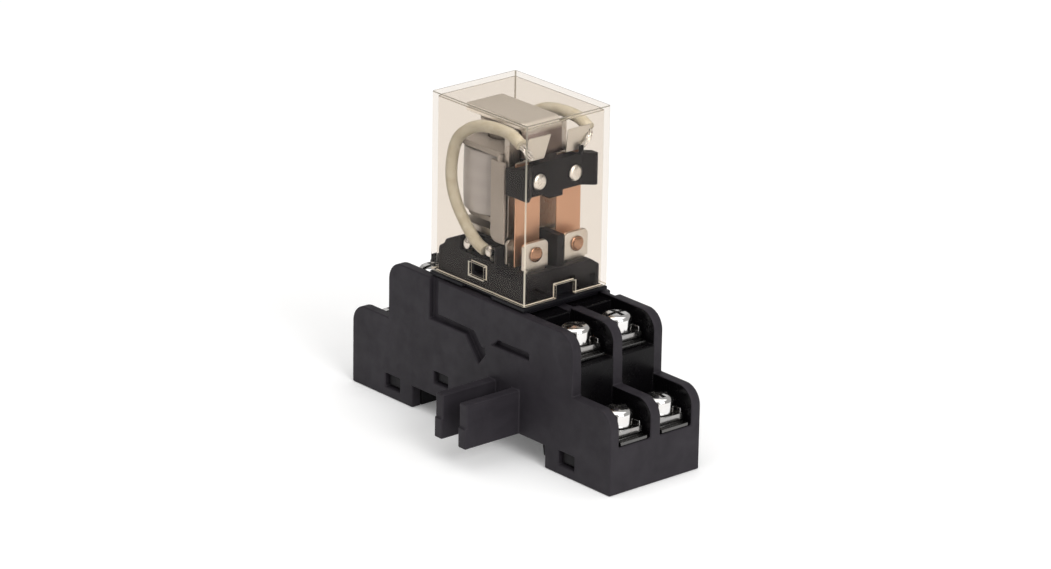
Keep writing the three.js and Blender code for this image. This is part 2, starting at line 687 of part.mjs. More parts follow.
function coilBobbin() {
  const cheek = [BARRIER.cheekInner, BARRIER.cheekOuter];
  const wallHalf = BARRIER.cheekOuter - 0.1;
  const centre = [CORE_X, 0, 0];
  return cut(
    join(
      prism(flangeOutline(BOTTOM_FLANGE), "Z", BOBBIN.bottom, BOBBIN.windingBottom),
      prism(flangeOutline(TOP_FLANGE), "Z", BOBBIN.windingTop, BOBBIN.top),
      cylinder(BOBBIN.tube, "Z", centre, BOBBIN.bottom + 0.1, BOBBIN.top - 0.1),
      box([BARRIER.from, BARRIER.to], [-wallHalf, wallHalf], [41.3, BOBBIN.top]),
      prism(cheekOutline(), "Y", ...cheek),
      prism(cheekOutline(), "Y", -cheek[1], -cheek[0]),
    ),
    cylinder(BOBBIN.bore, "Z", centre, 30, 70),
  );
}

function coilWinding() {
  const bottom = BOBBIN.windingBottom + GAP;
  const top = BOBBIN.windingTop - GAP;
  const inner = BOBBIN.tube + GAP;
  const profile = [
    [inner, bottom], [WINDING_RADIUS, bottom], [WINDING_RADIUS, top], [inner, top], [inner, bottom],
  ];
  return turned(profile, "Z", [CORE_X, 0, 0], 32);
}

const POLE_FACE = { radius: 4.2, bottom: 60.1, top: 61.3 };

function coilCore() {
  const profile = [
    [0, YOKE.bottom + 0.1], [2.0, YOKE.bottom + 0.1], [2.0, 41.1], [CORE_RADIUS, 41.1],
    [CORE_RADIUS, POLE_FACE.bottom], [POLE_FACE.radius, POLE_FACE.bottom],
    [POLE_FACE.radius, POLE_FACE.top], [0, POLE_FACE.top],
  ];
  return turned(profile, "Z", [CORE_X, 0, 0]);
}

// A bent strip seen from the side: horizontal run to the corner, then a vertical run.
function bentStrip(back, corner, end, thickness, innerRadius, upwards) {
  const shape = new THREE.Shape();
  const outerRadius = innerRadius + thickness;
  const s = upwards ? 1 : -1;
  const cx = corner[0] - outerRadius;
  const cz = corner[1] + s * outerRadius;
  shape.moveTo(back, corner[1]);
  shape.lineTo(cx, corner[1]);
  shape.absarc(cx, cz, outerRadius, (-s * Math.PI) / 2, 0, !upwards);
  shape.lineTo(corner[0], end);
  shape.lineTo(corner[0] - thickness, end);
  shape.lineTo(corner[0] - thickness, cz);
  shape.absarc(cx, cz, innerRadius, 0, (-s * Math.PI) / 2, upwards);
  shape.lineTo(back, corner[1] + s * thickness);
  return shape;
}

function yoke() {
  const corner = [YOKE.front, YOKE.bottom];
  const outline = bentStrip(YOKE.back, corner, YOKE.top, YOKE.thickness, 1.1, true);
  return cut(
    prism(outline, "Y", -YOKE.half, YOKE.half),
    box([-20, -0.9], [YOKE.footHalf, 10], [38, 43]),
    box([-20, -0.9], [-10, -YOKE.footHalf], [38, 43]),
    cylinder(2.0 + GAP, "Z", [CORE_X, 0, 0], 38, 43),
  );
}

addPart(relay, "coil_bobbin", coilBobbin(), whitePlastic);
addPart(relay, "coil_winding", coilWinding(), windingTape);
addPart(relay, "coil_core", coilCore(), steel);
addPart(relay, "yoke", yoke(), steel);

// ---- Armature, its card and the return spring ----

function armature() {
  const outerX = ARMATURE.legFrom + ARMATURE.thickness;
  const top = ARMATURE.bottom + ARMATURE.thickness;
  const outline = bentStrip(ARMATURE.back, [outerX, top], ARMATURE.legBottom, ARMATURE.thickness, 0.6, false);
  return prism(outline, "Y", -ARMATURE.half, ARMATURE.half);
}

const CARD_GROOVE = { depth: 5.4, half: ARMATURE.half + GAP };
const CARD_SLOT = { x: [6.1, 6.8], inner: 1.9, outer: 8.4 };

// Plan outline of the moulded card: a cross wall whose ends flare forward into side walls.
function cardOutline() {
  const { from, face, tip, half } = CARD;
  const flare = 6.2;
  const right = [
    [CARD_GROOVE.depth, CARD_GROOVE.half], [from, CARD_GROOVE.half], [from, half], [tip, half],
    [tip, half - 0.6], [face, flare],
  ];
  const left = right.map(([x, y]) => [x, -y]).reverse();
  return [...right, ...left];
}

function contactCard() {
  const { from, face, half, bottom, top } = CARD;
  let card = prism(cardOutline(), "Z", bottom, top);
  const tongue = [[-3.4, bottom + 0.1], [-1.7, 49.2], [1.7, 49.2], [1.7, bottom + 0.1]];
  card = join(card, prism(tongue, "X", CARD_SLOT.x[1], face));
  const backSlope = [[from - 1, top - 1.4], [face, top], [face, top + 1], [from - 1, top + 1]];
  for (const side of Object.values(POLES)) {
    const y = [side * 5.4, side * (half + 1)].sort((p, q) => p - q);
    card = cut(
      card,
      poleBox(side, CARD_SLOT.x, [CARD_SLOT.inner, CARD_SLOT.outer], [bottom - 1, top + 1]),
      prism(backSlope, "Y", ...y),
      cylinder(RIVET.shankRadius + GAP, "X", [0, side * RIVET.y, RIVET.z], from, face + 1),
    );
  }
  return card;
}

addPart(armatureGroup, "armature", armature(), steel);
addPart(armatureGroup, "contact_card", contactCard(), blackPlastic);

const RETURN_SPRING = { radius: 0.85, wire: 0.2, x: 0, y: -2.6, bottom: BOBBIN.top + 0.45, length: 3.6 };
const returnCoil = coilSpring(RETURN_SPRING.radius, RETURN_SPRING.wire, RETURN_SPRING.length, 5)
  .translate([RETURN_SPRING.x, RETURN_SPRING.y, RETURN_SPRING.bottom]);
addPart(relay, "return_spring", returnCoil, steel);

// ---- Moving springs, contacts and rivets of each pole ----

// Side outline of a sheet that follows a line of [x, z] points at constant thickness.
function sheetOutline(line, thickness) {
  const half = thickness / 2;
  const front = [];
  const back = [];
  line.forEach(([x, z], i) => {
    const before = line[Math.max(i - 1, 0)];
    const after = line[Math.min(i + 1, line.length - 1)];
    const length = Math.hypot(after[0] - before[0], after[1] - before[1]);
    const nx = (after[1] - before[1]) / length;
    const nz = -(after[0] - before[0]) / length;
    front.push([x + half * nx, z + half * nz]);
    back.unshift([x - half * nx, z - half * nz]);
  });
  return [...front, ...back];
}

// The tab above the card leans forward and widens upwards.
const TAB = { foot: [8.15, 57.45], head: [9.35, 62.4], footY: [2.8, 6.5], headY: [2.0, 7.8] };

function movingSpring(side) {
  const line = [[SPRING_X, SPRING.bottom], [SPRING_X, 56.9], [SPRING_X + 0.4, 57.2], TAB.foot, TAB.head];
  const y = [side * SPRING.inner, side * SPRING.outer].sort((p, q) => p - q);
  const inside = [[0, 56.95], [TAB.footY[0], 56.95], [TAB.headY[0] + 0.1, 63], [0, 63]];
  const outside = [[12, 56.95], [TAB.footY[1], 56.95], [TAB.headY[1], 61.9], [TAB.headY[1] - 0.6, 63], [12, 63]];
  return cut(
    prism(sheetOutline(line, SPRING_THICKNESS), "Y", ...y),
    prism(poleOutline(side, inside), "X", 5, 12),
    prism(poleOutline(side, outside), "X", 5, 12),
    cylinder(RIVET.shankRadius + GAP, "X", [0, side * RIVET.y, RIVET.z], 5, 8),
    cylinder(CONTACT.shankRadius + GAP, "X", [0, side * CONTACT.y, CONTACT.z], 5, 8),
  );
}

// A riveted contact with a head at one or both ends of its shank, along X.
function contact(side, shank, heads) {
  const centre = [0, side * CONTACT.y, CONTACT.z];
  const body = cylinder(CONTACT.shankRadius, "X", centre, ...shank, 20);
  return join(body, ...heads.map(([from, to, radius]) => cylinder(radius, "X", centre, from, to, 20)));
}

function cardRivet(side) {
  const centre = [0, side * RIVET.y, RIVET.z];
  const face = CARD.face + 0.1;
  const r = RIVET.headRadius;
  const profile = [
    [0, CARD_GROOVE.depth + 0.15], [RIVET.shankRadius, CARD_GROOVE.depth + 0.15],
    [RIVET.shankRadius, face], [r, face], [r, face + 0.3], [r * 0.8, face + 0.6], [0, face + 0.7],
  ];
  return turned(profile, "X", centre, 20);
}

const springBack = SPRING_X - SPRING_THICKNESS / 2;
const springFront = SPRING_X + SPRING_THICKNESS / 2;
const { headRadius } = CONTACT;

for (const [pole, side] of Object.entries(POLES)) {
  const movingHeads = [
    [springBack - 1.0, springBack - 0.1, headRadius],
    [springFront + 0.1, springFront + 0.55, headRadius],
  ];
  addPart(armatureGroup, `moving_spring_${pole}`, movingSpring(side), copper);
  addPart(armatureGroup, `card_rivet_${pole}`, cardRivet(side), nickel);
  const moving = contact(side, [springBack - 1.0, springFront + 0.55], movingHeads);
  addPart(armatureGroup, `moving_contact_${pole}`, moving, silverContact);
}

// ---- Fixed blades, their contacts and the flexible leads ----

// Blade with a wide contact plate on top, outline in the YZ plane.
function contactBlade(side, span, top) {
  const plate = FIXED_PLATE;
  const outline = [
    [BLADE.inner, BLADE_BOTTOM + 0.6], [BLADE.inner + 0.6, BLADE_BOTTOM],
    [BLADE.outer - 0.6, BLADE_BOTTOM], [BLADE.outer, BLADE_BOTTOM + 0.6], [BLADE.outer, plate.bottom],
    [plate.outer, plate.bottom], [plate.outer, top - 0.7], [plate.outer - 0.7, top],
    [plate.inner + 0.7, top], [plate.inner, top - 0.7], [plate.inner, plate.bottom],
    [BLADE.inner, plate.bottom],
  ];
  return cut(
    prism(poleOutline(side, outline), "X", ...span),
    cylinder(CONTACT.shankRadius + GAP, "X", [0, side * CONTACT.y, CONTACT.z], span[0] - 1, span[1] + 1),
  );
}

// Blade whose top steps outwards and ends in a hooked solder tip above the base's side.
function solderBlade(side, span, tipTop) {
  const outline = [
    [BLADE.inner, BLADE_BOTTOM + 0.6], [BLADE.inner + 0.6, BLADE_BOTTOM],
    [BLADE.outer - 0.6, BLADE_BOTTOM], [BLADE.outer, BLADE_BOTTOM + 0.6], [BLADE.outer, TIP.armBottom],
    [TIP.outer, TIP.armBottom], [TIP.outer, TIP.hookBottom], [TIP.hook, TIP.hookBottom + 0.3],
    [TIP.hook, tipTop], [TIP.inner, tipTop], [TIP.inner, TIP.armTop], [BLADE.inner, TIP.armTop],
  ];
  return prism(poleOutline(side, outline), "X", ...span);
}

// Route of a flexible lead's middle line in the XZ plane, from the spring's tab over the coil
// and down to the common blade's solder tip.
const LEAD_ROUTE = [
  [8.3, 61.2], [5.4, 62.4], [1.4, 62.6], [-3.6, 61.9], [-7.2, 60.3], [-10.4, 57.5], [-11.9, 53.2],
  [-12.0, 48.7], [-10.5, 44.7], [-7.4, 40.8], [-4.2, 38.2], [-1.8, 37.3],
];

function flexibleLead(side) {
  const points = LEAD_ROUTE.map(([x, z]) => new THREE.Vector3(x, side * LEAD_Y, z));
  return rod(new THREE.CatmullRomCurve3(points), LEAD_RADIUS, 8, 26);
}

for (const [pole, side] of Object.entries(POLES)) {
  addPart(relay, `no_blade_${pole}`, contactBlade(side, NO_X, FIXED_PLATE.noTop), tinned);
  const noHeads = [[NO_X[0] - 0.3, NO_X[0] - 0.1, headRadius], [NO_X[1] + 0.1, NO_X[1] + 0.6, 1.5]];
  addPart(relay, `no_contact_${pole}`, contact(side, [NO_X[0] - 0.3, NO_X[1] + 0.6], noHeads), copper);
  addPart(relay, `nc_blade_${pole}`, contactBlade(side, NC_X, FIXED_PLATE.ncTop), tinned);
  const ncHeads = [[NC_X[1] + 0.1, NC_X[1] + 1.0, headRadius]];
  addPart(relay, `nc_contact_${pole}`, contact(side, [NC_X[0], NC_X[1] + 1.0], ncHeads), silverContact);
  addPart(relay, `com_blade_${pole}`, solderBlade(side, COM_X, 38.3), tinned);
  addPart(relay, `coil_blade_${pole}`, solderBlade(side, COIL_X, 38.0), tinned);
  addPart(relay, `flexible_lead_${pole}`, flexibleLead(side), sleeveFabric);
}

export default group;
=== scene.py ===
import math

import bmesh
import bpy
from mathutils import Matrix, Vector


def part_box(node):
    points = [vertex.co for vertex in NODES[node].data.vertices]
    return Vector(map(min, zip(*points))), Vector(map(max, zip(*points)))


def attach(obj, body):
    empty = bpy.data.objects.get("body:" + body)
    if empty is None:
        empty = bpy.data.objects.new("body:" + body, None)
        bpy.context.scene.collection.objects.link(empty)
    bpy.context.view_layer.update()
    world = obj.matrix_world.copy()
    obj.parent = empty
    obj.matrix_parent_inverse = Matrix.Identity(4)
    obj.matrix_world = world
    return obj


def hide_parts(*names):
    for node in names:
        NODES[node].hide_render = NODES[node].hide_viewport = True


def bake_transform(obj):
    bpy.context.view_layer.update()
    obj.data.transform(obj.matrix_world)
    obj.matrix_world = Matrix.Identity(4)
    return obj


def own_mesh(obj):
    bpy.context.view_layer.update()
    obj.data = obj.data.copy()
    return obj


bl_info = {
    "name": "Plug-in Relay and Socket",
    "version": (1, 0, 0),
    "blender": (4, 5, 0),
    "location": "3D View > Sidebar > Relay",
    "description": "Finished pieces and materials for a plug-in power relay in its screw socket",
    "category": "Object",
}

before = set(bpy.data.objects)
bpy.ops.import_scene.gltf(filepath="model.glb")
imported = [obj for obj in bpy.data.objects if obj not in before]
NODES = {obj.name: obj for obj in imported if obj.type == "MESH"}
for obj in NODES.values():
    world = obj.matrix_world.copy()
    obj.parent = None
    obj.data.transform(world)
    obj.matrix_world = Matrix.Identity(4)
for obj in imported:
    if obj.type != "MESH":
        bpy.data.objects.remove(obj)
MM = 0.001
AXES = {"X": (1, 0, 0), "Y": (0, 1, 0), "Z": (0, 0, 1)}
POLES = {"a": -1, "b": 1}
TERMINALS = ("no", "nc", "com", "coil")

# Angles in degrees past which an edge is shaded sharp: on a new piece and on a reworked node.
SHARP = 32.0
SHARP_ON_NODE = 50.0


# ---- Mesh helpers ----


def new_piece(name, bm, material, body, stands_for=(), smooth=SHARP, recalculate=True):
    """Makes a shaded object of a finished bmesh, hides the nodes it stands for and, where given, ties it to
    its body.
    """
    if recalculate:
        bmesh.ops.recalc_face_normals(bm, faces=bm.faces)
    mesh = bpy.data.meshes.new(name)
    bm.to_mesh(mesh)
    bm.free()
    mesh.materials.append(material)
    mesh.shade_smooth()
    mesh.set_sharp_from_angle(angle=math.radians(smooth))
    piece = bpy.data.objects.new(name, mesh)
    bpy.context.scene.collection.objects.link(piece)
    if body:
        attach(piece, body)
    if stands_for:
        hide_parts(*stands_for)
    return piece


def copy_of(node):
    """A bmesh of a frame node, its loose triangles merged into whole flat faces and cut up evenly again."""
    bm = bmesh.new()
    bm.from_mesh(NODES[node].data)
    bmesh.ops.remove_doubles(bm, verts=bm.verts, dist=2e-6)
    bmesh.ops.dissolve_limit(
        bm, angle_limit=math.radians(1.0), use_dissolve_boundaries=False, verts=bm.verts, edges=bm.edges,
    )
    many_sided = [face for face in bm.faces if len(face.verts) > 4]
    bmesh.ops.triangulate(bm, faces=many_sided, quad_method="BEAUTY", ngon_method="BEAUTY")
    return bm


def bevelled(bm, edges, width, segments, clamp):
    """Rounds edges to a width in millimetres and returns the new faces."""
    return bmesh.ops.bevel(
        bm, geom=edges, offset=width * MM, offset_type="OFFSET", segments=segments, profile=0.5,
        affect="EDGES", clamp_overlap=clamp, material=-1,
    )["faces"]


def round_edges(bm, width, segments=2, angle=SHARP):
    """Rounds a shape's sharp edges the way a mould or a press leaves them, and returns the new faces."""
    limit = math.radians(angle)
    sharp = [edge for edge in bm.edges if edge.is_manifold and edge.calc_face_angle() > limit]
    return bevelled(bm, sharp, width, segments, False)


def flat_faces(piece):
    """Keeps the flat faces beside rounded edges evenly shaded."""
    weighted = piece.modifiers.new("Flat faces stay flat", "WEIGHTED_NORMAL")
    weighted.keep_sharp = True
    weighted.weight = 100
    return piece


def cut_from_node(name, bm, material, body, node):
    """Makes a piece of a reworked copy of a node and lets it stand for the node."""
    piece = new_piece(
        name, bm, material, body, (node,), smooth=SHARP_ON_NODE, recalculate=False,
    )
    return flat_faces(piece)


def refined(name, node, material, body, width, segments=2):
    """A node's own shape with rounded edges."""
    bm = copy_of(node)
    round_edges(bm, width, segments)
    return cut_from_node(name, bm, material, body, node)


def turned(profile, axis, centre, steps):
    """Spins a profile of (radius, distance along the axis) points, in millimetres, into a closed solid."""
    bm = bmesh.new()
    along = Vector(AXES[axis])
    across = Vector(AXES["Z" if axis == "X" else "X"])
    origin = Vector(centre) * MM
    verts = [bm.verts.new(origin + (across * r + along * t) * MM) for r, t in profile]
    edges = [bm.edges.new(pair) for pair in zip(verts, verts[1:])]
    bmesh.ops.spin(
        bm, geom=verts + edges, cent=origin, axis=along, angle=math.tau, steps=steps, use_merge=True,
    )
    bmesh.ops.remove_doubles(bm, verts=bm.verts, dist=1e-7)
    return bm


def turned_piece(name, node, profile, axis, material, body, steps=48):
    """Stands a profile, turned about a node's own middle line, in for the node."""
    low, high = extent_of(node)
    centre = (low + high) / 2
    centre["XYZ".index(axis)] = 0
    return new_piece(name, turned(profile, axis, centre, steps), material, body, (node,))


def slab(bm, low, high):
    """Adds a box between two corners given in millimetres."""
    size = [(b - a) * MM for a, b in zip(low, high)]
    middle = [(a + b) / 2 * MM for a, b in zip(low, high)]
    matrix = Matrix.Translation(middle) @ Matrix.Diagonal((*size, 1))
    return bmesh.ops.create_cube(bm, size=1, matrix=matrix)["verts"]


def rounded_slab(bm, low, high, radius):
    """Adds a box with all its edges rounded."""
    verts = slab(bm, low, high)
    edges = list({edge for vert in verts for edge in vert.link_edges})
    bevelled(bm, edges, radius, 3, True)


def ball(bm, centre, radius, stretch):
    """Adds a round blob, stretched along the axes."""
    matrix = Matrix.Translation(Vector(centre) * MM) @ Matrix.Diagonal((*stretch, 1))
    bmesh.ops.create_uvsphere(bm, u_segments=20, v_segments=10, radius=radius * MM, matrix=matrix)


def carve(piece, cutters):
    """Cuts other bmeshes out of a piece and leaves it a plain mesh."""
    for cutter in cutters:
        bmesh.ops.recalc_face_normals(cutter, faces=cutter.faces)
        mesh = bpy.data.meshes.new("cutter")
        cutter.to_mesh(mesh)
        cutter.free()
        tool = bpy.data.objects.new("cutter", mesh)
        bpy.context.scene.collection.objects.link(tool)
        cut = piece.modifiers.new("Cut", "BOOLEAN")
        cut.operation = "DIFFERENCE"
        cut.solver = "EXACT"
        cut.object = tool
        bpy.context.view_layer.update()
        graph = bpy.context.evaluated_depsgraph_get()
        result = bpy.data.meshes.new_from_object(piece.evaluated_get(graph))
        piece.modifiers.remove(cut)
        old = piece.data
        piece.data = result
        bpy.data.meshes.remove(old)
        bpy.data.objects.remove(tool)
        bpy.data.meshes.remove(mesh)
    piece.data.shade_smooth()
    piece.data.set_sharp_from_angle(angle=math.radians(SHARP))


def swept(name, points, radius, resolution):
    """A round closed rod along a smooth curve through points in millimetres, as a bmesh."""
    curve = bpy.data.curves.new(name, "CURVE")
    curve.dimensions = "3D"
    spline = curve.splines.new("POLY")
    spline.points.add(len(points) - 1)
    for target, point in zip(spline.points, points):
        target.co = (*(Vector(point) * MM), 1)
    spline.use_smooth = True
    curve.bevel_depth = radius * MM
    curve.bevel_resolution = resolution
    curve.use_fill_caps = True
    holder = bpy.data.objects.new(name, curve)
    mesh = bpy.data.meshes.new_from_object(holder)
    bm = bmesh.new()
    bm.from_mesh(mesh)
    bpy.data.objects.remove(holder)
    bpy.data.curves.remove(curve)
    bpy.data.meshes.remove(mesh)
    return bm


def smooth_line(points, count):
    """Points spaced along a smooth curve that passes through the given ones."""
    ends = [2 * points[0] - points[1], *points, 2 * points[-1] - points[-2]]
    steps = len(points) - 1
    line = []
    for i in range(count):
        place = i / (count - 1) * steps
        k = min(int(place), steps - 1)
        t = place - k
        p0, p1, p2, p3 = ends[k:k + 4]
        line.append(
            0.5 * ((2 * p1) + (p2 - p0) * t + (2 * p0 - 5 * p1 + 4 * p2 - p3) * t * t
                   + (3 * p1 - p0 - 3 * p2 + p3) * t ** 3)
        )
    return line


def extent_of(node):
    """A node's lowest and highest corners, in millimetres."""
    low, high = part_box(node)
    return Vector(low) / MM, Vector(high) / MM


def wound_spring(name, node, metal, body, axis, wire, turns):
    """Winds a wire of the given radius round an axis, from one end of a spring node to the other."""
    low, high = extent_of(node)
    centre = (low + high) / 2
    radius = (high.y - low.y) / 2 - wire
    k = "XYZ".index(axis)
    length = high[k] - low[k] - 2 * wire
    steps = 20
    points = []
    for i in range(turns * steps + 1):
        angle = math.tau * i / steps
        sine = radius * math.sin(angle)
        cosine = radius * math.cos(angle)
        point = centre + Vector((cosine, sine, cosine))
        point[k] = low[k] + wire + length * i / (turns * steps)
        points.append(point)
    return new_piece(name, swept(name, points, wire, 3), metal, body, (node,))


# ---- Material helpers ----


class Finish:
    """A material under construction: a Principled shader fed by patterns on Object coordinates."""

    def __init__(self, name, colour, roughness, metallic=0.0):
        self.material = bpy.data.materials.new(name)
        self.material.use_nodes = True
        self.tree = self.material.node_tree
        self.tree.nodes.clear()
        self.output = self.node("ShaderNodeOutputMaterial")
        self.shader = self.node("ShaderNodeBsdfPrincipled")
        self.link(self.shader.outputs[0], self.output.inputs["Surface"])
        self.set("Base Color", (*colour, 1))
        self.set("Roughness", roughness)
        self.set("Metallic", metallic)
        self.place = self.node("ShaderNodeTexCoord").outputs["Object"]
        self.bump = None

    def node(self, kind, **values):
        """Adds a shader node with some of its settings."""
        node = self.tree.nodes.new(kind)
        for key, value in values.items():
            setattr(node, key, value)
        return node

    def link(self, source, target):
        self.tree.links.new(source, target)

    def set(self, socket, value):
        """Sets one of the shader's own sockets."""
        self.shader.inputs[socket].default_value = value

    def stretched(self, scale):
        """Object coordinates scaled apart along each axis."""
        mapping = self.node("ShaderNodeMapping")
        mapping.inputs["Scale"].default_value = scale
        self.link(self.place, mapping.inputs["Vector"])
        return mapping.outputs[0]

    def parts_of(self, place):
        """Separates a vector into its three numbers."""
        split = self.node("ShaderNodeSeparateXYZ")
        self.link(place, split.inputs[0])
        return split.outputs

    def noise(self, scale, detail=3.0, place=None, distortion=0.0):
        """Cloudy pattern on Object coordinates; a larger scale is finer."""
        noise = self.node("ShaderNodeTexNoise")
        noise.inputs["Scale"].default_value = scale
        noise.inputs["Detail"].default_value = detail
        noise.inputs["Roughness"].default_value = 0.55
        noise.inputs["Distortion"].default_value = distortion
        self.link(place or self.place, noise.inputs["Vector"])
        return noise.outputs["Fac"]

    def level_bands(self, scale, distortion):
        """Soft level bands, one above another."""
        wave = self.node("ShaderNodeTexWave", wave_type="BANDS", bands_direction="Z")
        wave.inputs["Scale"].default_value = scale
        wave.inputs["Distortion"].default_value = distortion
        wave.inputs["Detail"].default_value = 2.0
        self.link(self.place, wave.inputs["Vector"])
        return wave.outputs["Fac"]

    def span(self, source, low, high, start=0.0, end=1.0):
        """A pattern's values between start and end moved to low and high."""
        ramp = self.node("ShaderNodeMapRange", clamp=True)
        limits = {"From Min": start, "From Max": end, "To Min": low, "To Max": high}
        for key, value in limits.items():
            ramp.inputs[key].default_value = value
        self.link(source, ramp.inputs["Value"])
        return ramp.outputs[0]

    def combine(self, operation, first, second=0.0):
        """Works out one pattern from two patterns or numbers."""
        math_node = self.node("ShaderNodeMath", operation=operation)
        for socket, value in zip(math_node.inputs, (first, second)):
            if isinstance(value, (int, float)):
                socket.default_value = value
            else:
                self.link(value, socket)
        return math_node.outputs[0]

    def tint(self, factor, first, second):
        """Colours the surface between two colours by a pattern."""
        mix = self.node("ShaderNodeMix", data_type="RGBA")
        self.link(factor, mix.inputs["Factor"])
        mix.inputs["A"].default_value = (*first, 1)
        mix.inputs["B"].default_value = (*second, 1)
        self.link(mix.outputs["Result"], self.shader.inputs["Base Color"])

    def tint_over(self, factor, colour):
        """Lays a second colour over the present one where a pattern says so."""
        present = self.shader.inputs["Base Color"].links[0].from_socket
        mix = self.node("ShaderNodeMix", data_type="RGBA")
        self.link(factor, mix.inputs["Factor"])
        self.link(present, mix.inputs["A"])
        mix.inputs["B"].default_value = (*colour, 1)
        self.link(mix.outputs["Result"], self.shader.inputs["Base Color"])

    def rough(self, source):
        """Drives the roughness by a pattern."""
        self.link(source, self.shader.inputs["Roughness"])

    def raise_by(self, height, distance, strength=1.0):
        """Adds a relief of the given depth in millimetres."""
        bump = self.node("ShaderNodeBump")
        bump.inputs["Distance"].default_value = distance * MM
        bump.inputs["Strength"].default_value = strength
        self.link(height, bump.inputs["Height"])
        if self.bump is not None:
            self.link(self.bump, bump.inputs["Normal"])
        self.bump = bump.outputs[0]
        self.link(self.bump, self.shader.inputs["Normal"])


def shaded(colour, factor):
    """A colour made lighter or darker by one factor, or by one for each of its channels."""
    factors = (factor,) * 3 if isinstance(factor, float) else factor
    return tuple(c * f for c, f in zip(colour, factors))


def moulded(name, colour, roughness, grain, mottle=0.25):
    """Moulded plastic: fine even grain, faint flow marks and uneven gloss."""
    finish = Finish(name, colour, roughness)
    flow = finish.noise(160, detail=5, distortion=0.6)
    lighter = tuple(min(1, c * (1 + mottle) + 0.004) for c in colour)
    finish.tint(finish.span(flow, 0, 1, 0.3, 0.7), shaded(colour, 1 - mottle), lighter)
    smears = finish.noise(420, detail=4)
    finish.rough(finish.span(smears, roughness * 0.82, min(1, roughness * 1.2), 0.3, 0.7))
    finish.raise_by(finish.noise(5200, detail=2), grain, 0.25)
    finish.raise_by(finish.noise(260, detail=2), grain * 1.5, 0.4)
    finish.set("Specular IOR Level", 0.14)
    return finish


# The terminal bays, in millimetres: the walls beside them, and where each shelf lies and ends.
BAY_WALLS = (1.15, 9.25)
UPPER_SHELF = 22.2
UPPER_END = 27.2
LOWER_SHELF = 9.2
LOWER_END = 38.2


def shade_and_gloss_in_bays(finish, colour):
    """Paints shade into the inner faces of the terminal bays as a darker colour, and makes them glossier
    than the outside.
    """
    x, y, height = finish.parts_of(finish.place)
    along = finish.combine("ABSOLUTE", x)
    across = finish.combine("ABSOLUTE", y)

    def both(first, second):
        return finish.combine("MULTIPLY", first, second)

    def above(value, limit):
        return finish.combine("GREATER_THAN", value, limit * MM)

    def below(value, limit):
        return finish.combine("LESS_THAN", value, limit * MM)

    between_walls = both(above(across, BAY_WALLS[0]), below(across, BAY_WALLS[1]))
    upper = both(above(height, UPPER_SHELF), below(along, UPPER_END))
    beside_upper = both(above(along, UPPER_END), below(along, LOWER_END))
    lower = both(above(height, LOWER_SHELF), beside_upper)
    shade_and_gloss_mask = both(between_walls, finish.combine("MAXIMUM", upper, lower))
    # Painted shade: the bay faces get a far darker copy of the socket colour; their lower roughness is real
    # gloss.
    finish.tint_over(shade_and_gloss_mask, colour)
    gloss = finish.shader.inputs["Roughness"].links[0].from_socket
    finish.rough(both(gloss, finish.span(shade_and_gloss_mask, 1.0, 0.55)))


def plated(name, colour, roughness, brushed=(1, 1, 1), grain=0.006, stain=0.12):
    """Plated or rolled metal: drawn lines along one way and faint stains."""
    finish = Finish(name, colour, roughness, metallic=1.0)
    lines = finish.noise(2600, detail=3, place=finish.stretched(brushed))
    stains = finish.noise(350, detail=4)
    warm = shaded(colour, (1 - stain * 0.6, 1 - stain, 1 - stain * 1.3))
    finish.tint(finish.span(stains, 0, 1, 0.45, 0.75), colour, warm)
    finish.rough(finish.span(lines, roughness * 0.75, roughness * 1.3, 0.3, 0.7))
    finish.raise_by(lines, grain)
    finish.raise_by(finish.noise(700, detail=2), grain * 2, 0.5)
    return finish.material


def clear_plastic(name, tint, roughness, milky, coat):
    """Clear moulded plastic that casts only a thin shadow, with faint waves and a share of milkiness."""
    finish = Finish(name, tint, roughness)
    finish.set("Transmission Weight", 1.0 - milky)
    finish.set("IOR", 1.02)
    finish.set("Coat Weight", coat)
    finish.set("Coat Roughness", 0.04)
    finish.set("Coat IOR", 1.4)
    finish.raise_by(finish.noise(90, detail=1), 0.012, 0.5)
    path = finish.node("ShaderNodeLightPath")
    clear = finish.node("ShaderNodeBsdfTransparent")
    clear.inputs[0].default_value = (*(c ** 0.5 for c in tint), 1)
    mix = finish.node("ShaderNodeMixShader")
    finish.link(path.outputs["Is Shadow Ray"], mix.inputs[0])
    finish.link(finish.shader.outputs[0], mix.inputs[1])
    finish.link(clear.outputs[0], mix.inputs[2])
    finish.link(mix.outputs[0], finish.output.inputs["Surface"])
    return finish


def winding_tape(name, colour):
    """Glossy thin tape wound over the coil, its turns just showing."""
    finish = Finish(name, colour, 0.38)
    turns = finish.level_bands(95, 0.3)
    finish.tint(finish.span(turns, 0, 1), shaded(colour, 0.93), colour)
    finish.raise_by(turns, 0.02, 0.6)
    finish.raise_by(finish.noise(500, detail=3), 0.02, 0.5)
    finish.rough(finish.span(finish.noise(600), 0.3, 0.5, 0.3, 0.7))
    finish.set("Coat Weight", 0.25)
    finish.set("Coat Roughness", 0.25)
    return finish.material


# How fast the braid's two families of threads run along the sleeve and round it, in radians.
BRAID_ROWS = 420.0
BRAID_STRANDS = 75.4


